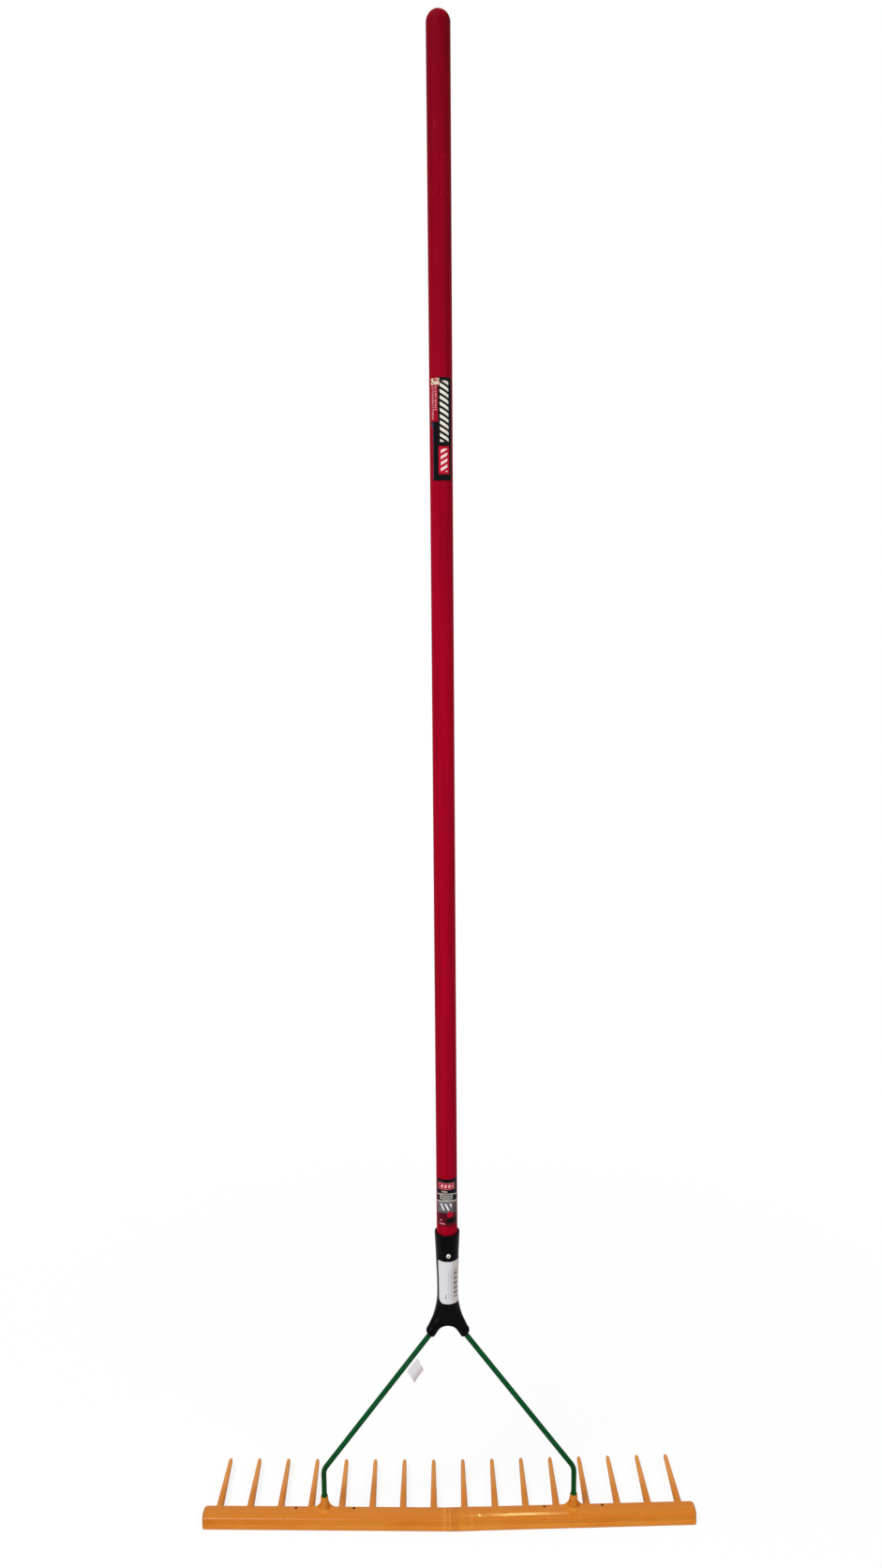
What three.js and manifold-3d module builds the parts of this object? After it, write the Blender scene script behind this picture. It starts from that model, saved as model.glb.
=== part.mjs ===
import * as THREE from 'three';
import Module from 'manifold-3d';
import { mergeVertices } from 'three/addons/utils/BufferGeometryUtils.js';

// A leveling rake: a wide moulded head on two bent steel rods that meet in a forked socket
// on a long wooden handle. Millimetres. +Z points up the handle, +X along the head and +Y
// the way the tines point. The origin lies on the flat underside of the head, in line with
// the handle.

// Shared
const clearance = 0.3;
const overrun = 1;

// Head: two halves, swept back a little from the middle
const headWidth = 609.6;
const sweepBack = 6.8;
const seamOffset = 2;
const barDepth = 22;
const barHeight = 15;
const barWall = 3;
const ribWidth = 2.5;
const frontToRods = 16.5;
const frontRound = 4;
const backChamfer = 0.8;
const lipReach = 1.5;
const lipHeight = 7.5;
const lipNose = 4.5;
const lipChamfer = 0.9;
const endRound = 1.2;

// Joint between the halves: a tongue on the left half in a socket in the right half
const tongueReach = 30;
const notchWidth = 3;
const notchHeight = 2;
const notchOffset = 4;

// Tines
const tinePitch = 38.1;
const tineReach = 86;
const tineRootWidth = 8.9;
const tineTipWidth = 5.6;
const tineRootHeight = 10.4;
const tineTipHeight = 6;
const tineTipRound = 4.5;
const tineFilletReach = 4;
const tineFilletWidth = 1.8;
const tenonSize = 6;

// Bosses that hold the rods
const bossPlace = 154;
const bossHeight = 18;
const bossTopDiameter = 10.5;
const bossFootDiameter = 13;
const bossFloor = 3;
const gussetReach = 18;
const gussetHeight = 11;
const gussetThickness = 5;
const drainHoleDiameter = 2;
const drainHoleReach = 36;
const drainHoleSetback = 2;

// Rods
const rodDiameter = 6.35;
const rodBendHeight = 69;
const rodBendRadius = 18;
const rodChamfer = 0.8;
const collarDiameter = 9.2;
const collarHeight = 3;

// Forked socket
const mouthHeight = 250;
const mouthSpread = 21;
const rodInsertion = 28;
const armMouthDiameter = 9.4;
const armBeadDiameter = 11;
const armBeadReach = 3.5;
const armDiameter = 10.2;
const archRise = 13;
const archHalfWidth = 17.7;
const yokeRise = 8;
const flareLength = 50;
const cupLength = 76;
const yokeHalfWidth = 25.6;
const yokeHalfDepth = 6.5;
const waistDiameter = 24.7;
const rimDiameter = 29.8;
const rimRound = 1;

// Handle
const handleLength = 1400;
const handleInsertion = 65;
const handleFootDiameter = 19;
const handleDiameter = 24.6;
const handleTopDiameter = 25.4;
const handleSwellLength = 500;
const handleFootChamfer = 1.5;

// Rivet through the socket into the handle, turned a few degrees from the front
const rivetDrop = 25;
const rivetTurn = 5;
const rivetHeadDiameter = 5.4;
const rivetHeadThickness = 1.3;
const rivetHollowDiameter = 2;
const rivetHollowDepth = 0.9;
const rivetShankDiameter = 3.2;
const rivetLength = 12;

// Thin wraps: their lengths up the handle and turns from the front. The sticker hangs below
// the rim, the label stands above it, and the decal hangs below the handle's top.
const wrapThickness = 0.3;
const stickerDrop = 33;
const stickerLength = 55;
const stickerTurns = [-53, 105];
const labelGap = 12;
const labelLength = 58.5;
const labelTurns = [-62, 68];
const decalDrop = 362;
const decalLength = 106;
const decalTurns = [-62, 57];

// Paper flag on a clear tail around the left rod
const flagDrop = 35;
const flagWidth = 21;
const flagLength = 15.5;
const flagTail = 7.5;
const flagThickness = 0.5;
const flagTurn = 54;

// Numbers of faces
const roundSides = 32;
const rodSides = 16;
const tineSides = 12;
const boreSides = 20;
const bendSteps = 6;
const domeSteps = 7;
const curveSteps = 5;

// Half width of the socket above its yoke, and half depth, from the yoke to the waist
const flareShares = [
  [0, 1, 0], [0.14, 0.71, 0.12], [0.28, 0.46, 0.3], [0.42, 0.285, 0.5],
  [0.58, 0.15, 0.72], [0.72, 0.065, 0.87], [0.86, 0.014, 0.96], [1, 0, 1],
];
// Radius of the socket from its waist to its rim
const cupShares = [[0, 0], [0.28, 0.137], [0.46, 0.36], [0.65, 0.53], [0.83, 0.784], [1, 1]];
// Thickness of a rod's collar up its height
const collarShares = [[0, 0], [0.2, 0.75], [0.5, 1], [0.8, 0.75], [1, 0]];
// Rounding of a tine's tip, along the tip and across it
const tipShares = [[0, 1], [0.4, 0.93], [0.75, 0.72], [1, 0.34]];
// Squareness of a tine's section
const tineCornerShare = 0.72;

const halfHead = headWidth / 2;
const sweepSlope = sweepBack / halfHead;
const frontPlace = -frontToRods;
const backPlace = barDepth - frontToRods;
const rodRadius = rodDiameter / 2;
const boreRadius = rodRadius + clearance;
const rodLean = Math.atan2(bossPlace - mouthSpread, mouthHeight - rodBendHeight);
const yokeHeight = mouthHeight + yokeRise;
const waistHeight = yokeHeight + flareLength;
const rimHeight = waistHeight + cupLength;
const waistRadius = waistDiameter / 2;
const rimRadius = rimDiameter / 2;
const handleFoot = rimHeight - handleInsertion;
const handleTop = handleFoot + handleLength;
const rivetHeight = rimHeight - rivetDrop;
const rivetAngle = THREE.MathUtils.degToRad(rivetTurn);
const labelBottom = rimHeight + labelGap;
const decalBottom = handleTop - decalDrop - decalLength;

const wasm = await Module();
wasm.setup();

// Turns a closed geometry into a solid that can be joined and cut
function solidOf(geometry) {
  const bare = geometry.clone();
  bare.deleteAttribute('normal');
  bare.deleteAttribute('uv');
  const merged = mergeVertices(bare);
  const mesh = new wasm.Mesh({
    numProp: 3,
    vertProperties: new Float32Array(merged.attributes.position.array),
    triVerts: new Uint32Array(merged.index.array),
  });
  return new wasm.Manifold(mesh);
}

function geometryOf(solid) {
  const mesh = solid.getMesh();
  const geometry = new THREE.BufferGeometry();
  geometry.setAttribute('position', new THREE.BufferAttribute(mesh.vertProperties, 3));
  geometry.setIndex(new THREE.BufferAttribute(mesh.triVerts, 1));
  return geometry;
}

function join(...geometries) {
  return geometryOf(geometries.map(solidOf).reduce((whole, piece) => whole.add(piece)));
}

function cut(geometry, cutters) {
  return geometryOf(cutters.map(solidOf).reduce((whole, tool) => whole.subtract(tool), solidOf(geometry)));
}

// Joins rings of equally many points into a closed body; the rings turn right-handed about
// the way they follow each other
function loft(rings) {
  const count = rings[0].length;
  const last = (rings.length - 1) * count;
  const index = [];
  for (let ring = 0; ring < rings.length - 1; ring++) {
    for (let step = 0; step < count; step++) {
      const here = ring * count + step;
      const next = ring * count + (step + 1) % count;
      index.push(here, next, next + count, here, next + count, here + count);
    }
  }
  for (let step = 1; step < count - 1; step++) {
    index.push(0, step + 1, step, last, last + step, last + step + 1);
  }
  const geometry = new THREE.BufferGeometry().setFromPoints(rings.flat());
  geometry.setIndex(index);
  return geometry;
}

// An oval of points round a centre, with its two half axes given as vectors
function oval(centre, across, along, sides, cornerShare = 1) {
  return Array.from({ length: sides }, (_, step) => {
    const turn = 2 * Math.PI * (step + 0.5) / sides;
    const bend = (value) => Math.sign(value) * Math.abs(value) ** cornerShare;
    return centre.clone()
      .addScaledVector(across, bend(Math.cos(turn)))
      .addScaledVector(along, bend(Math.sin(turn)));
  });
}

function box(low, high) {
  const geometry = new THREE.BoxGeometry(high[0] - low[0], high[1] - low[1], high[2] - low[2]);
  return geometry.translate((low[0] + high[0]) / 2, (low[1] + high[1]) / 2, (low[2] + high[2]) / 2);
}

// A straight or tapered post up +Z
function post(place, lowRadius, highRadius, low, high, sides) {
  const geometry = new THREE.CylinderGeometry(highRadius, lowRadius, high - low, sides);
  return geometry.rotateX(Math.PI / 2).translate(place[0], place[1], (low + high) / 2);
}

// Reads a value off a table of [place, value] rows
function readTable(rows, place) {
  const next = Math.max(1, rows.findIndex((row) => row[0] >= place));
  const [fromPlace, fromValue] = rows[next - 1];
  const [toPlace, toValue] = rows[next];
  return THREE.MathUtils.mapLinear(place, fromPlace, toPlace, fromValue, toValue);
}

function sweptPlace(along) {
  return (Math.abs(along) - bossPlace) * sweepSlope;
}

// Slides every point back by the sweep at its place along the head
function sweep(geometry) {
  const points = geometry.attributes.position;
  for (let i = 0; i < points.count; i++) points.setY(i, points.getY(i) + sweptPlace(points.getX(i)));
  return geometry;
}

// The same body on the other side of the middle
function mirrored(geometry) {
  const other = geometry.clone().scale(-1, 1, 1);
  const index = other.index.array;
  for (let i = 0; i < index.length; i += 3) [index[i], index[i + 1]] = [index[i + 1], index[i]];
  return other;
}

// The bar's section, front on the left: flared lip, front face, rounded top edge, flat top
function barSection() {
  const outline = new THREE.Shape();
  outline.moveTo(frontPlace - lipReach + lipChamfer, 0);
  outline.lineTo(backPlace, 0);
  outline.lineTo(backPlace, barHeight - backChamfer);
  outline.lineTo(backPlace - backChamfer, barHeight);
  outline.lineTo(frontPlace + frontRound, barHeight);
  outline.absarc(frontPlace + frontRound, barHeight - frontRound, frontRound, Math.PI / 2, Math.PI);
  outline.lineTo(frontPlace, lipHeight);
  outline.lineTo(frontPlace - lipReach, lipNose);
  outline.lineTo(frontPlace - lipReach, lipChamfer);
  return outline;
}

function barBlank(seamPlace) {
  const start = seamPlace - overrun - endRound;
  const geometry = new THREE.ExtrudeGeometry(barSection(), {
    depth: halfHead - start - 2 * endRound,
    curveSegments: curveSteps,
    bevelThickness: endRound,
    bevelSize: endRound,
    bevelOffset: -endRound,
    bevelSegments: 2,
  });
  const toBar = new THREE.Matrix4().makeBasis(
    new THREE.Vector3(0, 1, 0), new THREE.Vector3(0, 0, 1), new THREE.Vector3(1, 0, 0));
  geometry.applyMatrix4(toBar).translate(start + endRound, 0, 0);
  const past = [seamPlace, backPlace + overrun, barHeight + overrun];
  const before = [start - overrun, frontPlace - lipReach - overrun, -overrun];
  return cut(geometry, [box(before, past)]);
}

// Moulding pockets under the bar, between the ribs that back the tines
function pockets(firstPlace) {
  const edges = [firstPlace];
  for (let place = tinePitch / 2; place < halfHead - barWall; place += tinePitch) {
    if (place - ribWidth > firstPlace) edges.push(place - ribWidth / 2, place + ribWidth / 2);
  }
  edges.push(halfHead - barWall);
  const tools = [];
  for (let i = 0; i < edges.length; i += 2) {
    tools.push(box(
      [edges[i], frontPlace + barWall, -overrun],
      [edges[i + 1], backPlace - barWall, barHeight - barWall]));
  }
  return tools;
}

function tinePlaces() {
  const places = [];
  for (let place = tinePitch / 2; place < halfHead - tineRootWidth; place += tinePitch) places.push(place);
  return places;
}

const tineMiddle = barHeight - tineRootHeight / 2;

// Holes through the bar's back wall for the tines' tenons
function tenonHoles() {
  const half = tenonSize / 2 + clearance;
  return tinePlaces().map((place) => box(
    [place - half, backPlace - barWall - overrun / 2, tineMiddle - half],
    [place + half, backPlace + overrun, tineMiddle + half]));
}

// Web behind the boss with a hollow curve down to the bar on each side
function gusset() {
  const outline = new THREE.Shape();
  const shoulder = bossTopDiameter / 2;
  outline.moveTo(-gussetReach, -overrun);
  outline.lineTo(gussetReach, -overrun);
  outline.lineTo(gussetReach, 0);
  outline.quadraticCurveTo(bossFootDiameter / 2, 0, shoulder, gussetHeight);
  outline.lineTo(-shoulder, gussetHeight);
  outline.quadraticCurveTo(-bossFootDiameter / 2, 0, -gussetReach, 0);
  const geometry = new THREE.ExtrudeGeometry(outline, {
    depth: gussetThickness, curveSegments: curveSteps, bevelEnabled: false,
  });
  return geometry.rotateX(Math.PI / 2).translate(bossPlace, gussetThickness, barHeight);
}

// One half of the head, built to the right of the middle
function barHalf(seamPlace, hasTongue) {
  const innerLow = frontPlace + barWall;
  const innerHigh = backPlace - barWall;
  const solidStart = (hasTongue ? seamPlace : tongueReach) + barWall;
  const hollow = cut(barBlank(seamPlace), pockets(solidStart));
  const bossTop = barHeight + bossHeight;
  const pieces = [
    hollow,
    post([bossPlace, 0], bossFootDiameter / 2, bossFootDiameter / 2, 0, barHeight - overrun, boreSides),
    post([bossPlace, 0], bossFootDiameter / 2, bossTopDiameter / 2, barHeight - overrun, bossTop, boreSides),
    gusset(),
  ];
  if (hasTongue) {
    pieces.push(box(
      [clearance - tongueReach, innerLow + clearance, barWall + clearance],
      [seamPlace + overrun, innerHigh - clearance, barHeight - barWall - clearance]));
  }
  const tools = [
    post([bossPlace, 0], boreRadius, boreRadius, bossFloor, bossTop + overrun, rodSides),
    ...tenonHoles(),
    ...[-drainHoleReach, drainHoleReach].map((reach) => post(
      [bossPlace + reach, drainHoleSetback], drainHoleDiameter / 2, drainHoleDiameter / 2,
      barHeight - barWall - overrun, barHeight + overrun, tineSides)),
  ];
  if (!hasTongue) {
    tools.push(
      box([seamPlace - overrun, innerLow, barWall], [tongueReach, innerHigh, barHeight - barWall]),
      box(
        [notchOffset - notchWidth / 2, frontPlace - lipReach - overrun, -overrun],
        [notchOffset + notchWidth / 2, frontPlace, notchHeight]));
  }
  return sweep(cut(join(...pieces), tools));
}

// A tine with its tenon, its root at the bar's back face
function tine() {
  const ring = (place, width, height) => oval(
    new THREE.Vector3(0, place, 0), new THREE.Vector3(0, 0, height / 2),
    new THREE.Vector3(width / 2, 0, 0), tineSides, tineCornerShare);
  const tipStart = tineReach - tineTipRound;
  return loft([
    ring(clearance - barWall, tenonSize, tenonSize),
    ring(clearance, tenonSize, tenonSize),
    ring(clearance, tineRootWidth + tineFilletWidth, tineRootHeight),
    ring(tineFilletReach / 2, tineRootWidth + tineFilletWidth / 4, tineRootHeight),
    ring(tineFilletReach, tineRootWidth, tineRootHeight),
    ...tipShares.map(([along, across]) => ring(
      tipStart + along * tineTipRound, across * tineTipWidth, across * tineTipHeight)),
  ]);
}

// The right rod: up from its boss, round its bend and into its arm. Each station is a
// distance along the rod and a radius.
function rod() {
  const start = bossFloor + clearance;
  const tangent = rodBendRadius * Math.tan(rodLean / 2);
  const bendStart = rodBendHeight - tangent - start;
  const bendLength = rodBendRadius * rodLean;
  const slant = (mouthHeight - rodBendHeight) / Math.cos(rodLean) - tangent + rodInsertion - clearance;
  const length = bendStart + bendLength + slant;
  const collarStart = barHeight + bossHeight + clearance - start;
  const collarGrowth = (collarDiameter - rodDiameter) / 2;
  const stations = [[0, rodRadius - rodChamfer], [rodChamfer, rodRadius]];
  for (const [along, out] of collarShares) {
    stations.push([collarStart + along * collarHeight, rodRadius + out * collarGrowth]);
  }
  for (let step = 0; step <= bendSteps; step++) {
    stations.push([bendStart + bendLength * step / bendSteps, rodRadius]);
  }
  stations.push([length - rodChamfer, rodRadius], [length, rodRadius - rodChamfer]);
  const sideways = new THREE.Vector3(0, 1, 0);
  return loft(stations.map(([along, radius]) => {
    const turned = THREE.MathUtils.clamp((along - bendStart) / bendLength, 0, 1) * rodLean;
    const before = Math.min(along, bendStart);
    const after = Math.max(along - bendStart - bendLength, 0);
    const centre = new THREE.Vector3(
      bossPlace - rodBendRadius * (1 - Math.cos(turned)) - after * Math.sin(turned),
      0,
      start + before + rodBendRadius * Math.sin(turned) + after * Math.cos(turned));
    const across = new THREE.Vector3(Math.cos(turned), 0, Math.sin(turned));
    return oval(centre, across.multiplyScalar(radius), sideways.clone().multiplyScalar(radius), rodSides);
  }));
}

// Half width and half depth of the forked socket at a height
function socketRadii(height) {
  if (height >= waistHeight) {
    const share = readTable(cupShares, (height - waistHeight) / (rimHeight - waistHeight));
    const radius = waistRadius + share * (rimRadius - waistRadius);
    return [radius, radius];
  }
  const place = (height - yokeHeight) / (waistHeight - yokeHeight);
  const out = readTable(flareShares.map((row) => [row[0], row[1]]), place);
  const deep = readTable(flareShares.map((row) => [row[0], row[2]]), place);
  return [
    waistRadius + out * (yokeHalfWidth - waistRadius),
    yokeHalfDepth + deep * (waistRadius - yokeHalfDepth),
  ];
}

function socketHeights() {
  const flare = flareShares.map((row) => yokeHeight + row[0] * (waistHeight - yokeHeight));
  const cup = cupShares.slice(1).map((row) => waistHeight + row[0] * (rimHeight - waistHeight));
  cup[cup.length - 1] = rimHeight - rimRound;
  return [...flare, ...cup];
}

function socketRing(height, inset) {
  const [halfWidth, halfDepth] = socketRadii(height);
  return oval(
    new THREE.Vector3(0, 0, height), new THREE.Vector3(halfWidth - inset, 0, 0),
    new THREE.Vector3(0, halfDepth - inset, 0), roundSides);
}

// A round bar along the right rod's line, from the arm's mouth inward; each station is a
// distance in from the mouth and a radius
function alongRod(stations, sides) {
  const inward = new THREE.Vector3(-Math.sin(rodLean), 0, Math.cos(rodLean));
  const across = new THREE.Vector3(Math.cos(rodLean), 0, Math.sin(rodLean));
  const sideways = new THREE.Vector3(0, 1, 0);
  return loft(stations.map(([along, radius]) => oval(
    new THREE.Vector3(mouthSpread, 0, mouthHeight).addScaledVector(inward, along),
    across.clone().multiplyScalar(radius), sideways.clone().multiplyScalar(radius), sides)));
}

function forkSocket() {
  const body = loft([
    ...socketHeights().map((height) => socketRing(height, 0)),
    socketRing(rimHeight, rimRound),
  ]);
  const arm = alongRod([
    [0, armMouthDiameter / 2],
    [armBeadReach / 4, armBeadDiameter / 2 - clearance],
    [armBeadReach, armBeadDiameter / 2],
    [2 * armBeadReach, armDiameter / 2],
    [rodInsertion, armDiameter / 2],
  ], boreSides);
  const archRadius = (archHalfWidth ** 2 + archRise ** 2) / (2 * archRise);
  const arch = new THREE.CylinderGeometry(archRadius, archRadius, rimDiameter, roundSides)
    .translate(0, 0, mouthHeight + archRise - archRadius);
  const web = cut(body, [arch]);
  const bore = alongRod([[-overrun, boreRadius], [rodInsertion, boreRadius]], rodSides);
  const cup = new THREE.LatheGeometry([
    new THREE.Vector2(0, handleFoot - clearance),
    new THREE.Vector2(handleFootDiameter / 2 + clearance, handleFoot - clearance),
    new THREE.Vector2(handleDiameter / 2 + clearance, rimHeight),
    new THREE.Vector2(handleDiameter / 2 + clearance, rimHeight + overrun),
    new THREE.Vector2(0, rimHeight + overrun),
  ], roundSides).rotateX(Math.PI / 2);
  return cut(join(web, arm, mirrored(arm)), [bore, mirrored(bore), cup, rivetBore()]);
}

// How far in front of the middle the rivet's head starts
function rivetSeat() {
  return -socketRadii(rivetHeight)[0] - clearance;
}

// The hole for the rivet's shank, from in front of the socket into the handle
function rivetBore() {
  const radius = rivetShankDiameter / 2 + clearance;
  const front = -rimRadius - overrun;
  const end = rivetSeat() + rivetLength + clearance;
  return new THREE.CylinderGeometry(radius, radius, end - front, tineSides)
    .translate(0, (front + end) / 2, rivetHeight)
    .rotateZ(rivetAngle);
}

function handleRadius(height) {
  const swellStart = handleTop - handleSwellLength;
  if (height <= rimHeight) {
    return THREE.MathUtils.mapLinear(
      height, handleFoot, rimHeight, handleFootDiameter / 2, handleDiameter / 2);
  }
  const share = THREE.MathUtils.clamp((height - swellStart) / handleSwellLength, 0, 1);
  return THREE.MathUtils.lerp(handleDiameter, handleTopDiameter, share) / 2;
}

function handle() {
  const topRadius = handleTopDiameter / 2;
  const profile = [
    new THREE.Vector2(0, handleFoot),
    new THREE.Vector2(handleFootDiameter / 2 - handleFootChamfer, handleFoot),
    new THREE.Vector2(handleRadius(handleFoot + handleFootChamfer), handleFoot + handleFootChamfer),
    new THREE.Vector2(handleDiameter / 2, rimHeight),
    new THREE.Vector2(handleDiameter / 2, handleTop - handleSwellLength),
  ];
  for (let step = 0; step < domeSteps; step++) {
    const turn = Math.PI / 2 * step / domeSteps;
    profile.push(new THREE.Vector2(
      topRadius * Math.cos(turn), handleTop - topRadius * (1 - Math.sin(turn))));
  }
  profile.push(new THREE.Vector2(0, handleTop));
  const pole = new THREE.LatheGeometry(profile, roundSides).rotateX(Math.PI / 2);
  return cut(pole, [rivetBore()]);
}

// A rivet whose head faces the front, with a hollow in the head
function rivet() {
  const headRadius = rivetHeadDiameter / 2;
  const hollowRadius = rivetHollowDiameter / 2;
  const shankRadius = rivetShankDiameter / 2;
  const profile = [
    [0, rivetHeadThickness - rivetHollowDepth],
    [hollowRadius, rivetHeadThickness - rivetHollowDepth],
    [hollowRadius, rivetHeadThickness],
    [(hollowRadius + headRadius) / 2, rivetHeadThickness],
    [headRadius, rivetHeadThickness / 3],
    [headRadius, 0],
    [shankRadius, 0],
    [shankRadius, -rivetLength],
    [0, -rivetLength],
  ].reverse();
  return new THREE.LatheGeometry(profile.map(([x, y]) => new THREE.Vector2(x, y)), boreSides);
}

// A thin sheet that lies a clearance off a round surface, between two turns from the front
function wrap(radiiAt, heights, turns) {
  const steps = Math.ceil((turns[1] - turns[0]) / 360 * roundSides) * 2;
  const layers = [clearance, clearance + wrapThickness];
  const points = [];
  for (const height of heights) {
    for (const out of layers) {
      for (let step = 0; step <= steps; step++) {
        const turn = THREE.MathUtils.degToRad(THREE.MathUtils.lerp(turns[0], turns[1], step / steps));
        const [halfWidth, halfDepth] = radiiAt(height);
        points.push(new THREE.Vector3(
          (halfWidth + out) * Math.sin(turn), -(halfDepth + out) * Math.cos(turn), height));
      }
    }
  }
  const row = steps + 1;
  const at = (level, layer, step) => (level * 2 + layer) * row + step;
  const index = [];
  const face = (a, b, c, d) => index.push(a, b, c, a, c, d);
  const top = heights.length - 1;
  for (let level = 0; level < top; level++) {
    for (let step = 0; step < steps; step++) {
      face(at(level, 1, step), at(level, 1, step + 1), at(level + 1, 1, step + 1), at(level + 1, 1, step));
      face(at(level, 0, step + 1), at(level, 0, step), at(level + 1, 0, step), at(level + 1, 0, step + 1));
    }
    face(at(level, 0, 0), at(level, 1, 0), at(level + 1, 1, 0), at(level + 1, 0, 0));
    face(at(level, 1, steps), at(level, 0, steps), at(level + 1, 0, steps), at(level + 1, 1, steps));
  }
  for (let step = 0; step < steps; step++) {
    face(at(0, 0, step), at(0, 0, step + 1), at(0, 1, step + 1), at(0, 1, step));
    face(at(top, 1, step), at(top, 1, step + 1), at(top, 0, step + 1), at(top, 0, step));
  }
  const geometry = new THREE.BufferGeometry().setFromPoints(points);
  geometry.setIndex(index);
  return geometry;
}

function stickerHeights() {
  const stickerTop = rimHeight - stickerDrop;
  const stickerBottom = stickerTop - stickerLength;
  const between = socketHeights().filter((height) => height > stickerBottom && height < stickerTop);
  return [stickerBottom, ...between, stickerTop];
}

// The flag's section across its rod: a loop of film round the rod and a flat tail with paper
function paperFlag() {
  const loopRadius = rodRadius + clearance + flagThickness;
  const half = flagThickness / 2;
  const start = Math.asin(half / loopRadius);
  const outline = new THREE.Shape();
  outline.moveTo(flagTail + flagLength, -half);
  outline.lineTo(flagTail + flagLength, half);
  outline.lineTo(loopRadius * Math.cos(start), half);
  outline.absarc(0, 0, loopRadius, start, 2 * Math.PI - start);
  const hole = new THREE.Path();
  hole.absarc(0, 0, rodRadius + clearance, 0, 2 * Math.PI, true);
  outline.holes.push(hole);
  const geometry = new THREE.ExtrudeGeometry(outline, {
    depth: flagWidth, curveSegments: boreSides / 2, bevelEnabled: false,
  });
  return geometry.translate(0, 0, -flagWidth / 2);
}

const materials = {
  paintedWood: [0x9c0a22, 0.42, 0],
  blackPlastic: [0x121214, 0.38, 0],
  greenSteel: [0x0f5a2c, 0.3, 0],
  headPlastic: [0xd1843a, 0.45, 0],
  brightMetal: [0xc9c9c6, 0.3, 1],
  blackFilm: [0x15131a, 0.3, 0],
  whitePaper: [0xdedde2, 0.7, 0],
};

function named(name, geometry, finish) {
  const [color, roughness, metalness] = materials[finish];
  const mesh = new THREE.Mesh(geometry, new THREE.MeshStandardMaterial({ color, roughness, metalness }));
  mesh.name = name;
  return mesh;
}

function headGroup() {
  const group = new THREE.Group();
  const halfGap = clearance / 2;
  group.add(
    named('head_bar_left', mirrored(barHalf(seamOffset + halfGap, true)), 'headPlastic'),
    named('head_bar_right', barHalf(halfGap - seamOffset, false), 'headPlastic'));
  const places = tinePlaces();
  const all = [...places.map((place) => -place).reverse(), ...places];
  all.forEach((place, i) => {
    const mesh = named(`tine_${String(i + 1).padStart(2, '0')}`, tine(), 'headPlastic');
    mesh.position.set(place, backPlace + sweptPlace(place), tineMiddle);
    group.add(mesh);
  });
  return group;
}

function bowGroup() {
  const group = new THREE.Group();
  const flag = named('paper_flag', paperFlag(), 'whitePaper');
  const lean = new THREE.Group();
  lean.position.set(-mouthSpread - flagDrop * Math.tan(rodLean), 0, mouthHeight - flagDrop);
  lean.rotation.y = rodLean;
  flag.rotation.z = -THREE.MathUtils.degToRad(flagTurn);
  lean.add(flag);
  group.add(
    named('rod_left', mirrored(rod()), 'greenSteel'),
    named('rod_right', rod(), 'greenSteel'),
    lean);
  return group;
}

function handleGroup() {
  const group = new THREE.Group();
  const rivetMesh = named('socket_rivet', rivet(), 'brightMetal');
  rivetMesh.position.set(0, rivetSeat(), rivetHeight);
  rivetMesh.rotation.x = Math.PI;
  const turned = new THREE.Group();
  turned.rotation.z = rivetAngle;
  turned.add(rivetMesh);
  const round = (height) => [handleRadius(height), handleRadius(height)];
  group.add(
    named('fork_socket', forkSocket(), 'blackPlastic'),
    turned,
    named('socket_sticker', wrap(socketRadii, stickerHeights(), stickerTurns), 'whitePaper'),
    named('handle', handle(), 'paintedWood'),
    named('handle_label', wrap(round, [labelBottom, labelBottom + labelLength], labelTurns), 'blackFilm'),
    named('handle_decal', wrap(round, [decalBottom, decalBottom + decalLength], decalTurns), 'blackFilm'));
  return group;
}

const rake = new THREE.Group();
rake.add(headGroup(), bowGroup(), handleGroup());

export default rake;
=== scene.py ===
"""A leveling rake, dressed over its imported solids. Metres, in the frame of the solids."""

import math
from functools import partial

import bmesh
import bpy
import numpy as np
from bpy.props import FloatProperty, FloatVectorProperty, IntProperty, PointerProperty
from mathutils import Matrix, Vector


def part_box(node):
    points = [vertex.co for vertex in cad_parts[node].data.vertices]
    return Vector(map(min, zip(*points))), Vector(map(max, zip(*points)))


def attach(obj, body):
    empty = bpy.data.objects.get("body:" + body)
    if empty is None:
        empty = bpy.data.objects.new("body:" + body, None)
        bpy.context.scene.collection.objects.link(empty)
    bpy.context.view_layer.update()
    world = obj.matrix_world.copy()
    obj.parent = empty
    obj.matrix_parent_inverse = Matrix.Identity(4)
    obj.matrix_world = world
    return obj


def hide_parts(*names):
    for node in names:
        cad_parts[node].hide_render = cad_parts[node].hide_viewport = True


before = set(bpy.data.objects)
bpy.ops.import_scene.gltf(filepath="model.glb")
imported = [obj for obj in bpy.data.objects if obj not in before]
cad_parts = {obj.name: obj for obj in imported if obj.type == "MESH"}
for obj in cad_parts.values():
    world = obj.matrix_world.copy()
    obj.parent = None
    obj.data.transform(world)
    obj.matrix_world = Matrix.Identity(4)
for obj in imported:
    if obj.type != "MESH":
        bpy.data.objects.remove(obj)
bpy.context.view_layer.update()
BODY = "root"

bl_info = {
    "name": "Leveling Rake",
    "version": (1, 0, 0),
    "blender": (4, 5, 0),
    "location": "3D View > Sidebar > Rake",
    "description": "Builds a long-handled leveling rake with a moulded head, bent rods and a forked socket",
    "category": "Add Mesh",
}

MM = 0.001
TINES = sorted(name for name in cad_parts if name.startswith("tine_"))
BAR_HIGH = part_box("head_bar_right")[1]
ROD_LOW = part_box("rod_right")[0]
SOCKET_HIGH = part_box("fork_socket")[1]
HANDLE_LOW, HANDLE_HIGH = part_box("handle")
RIVET_LOW, RIVET_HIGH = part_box("socket_rivet")


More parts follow.
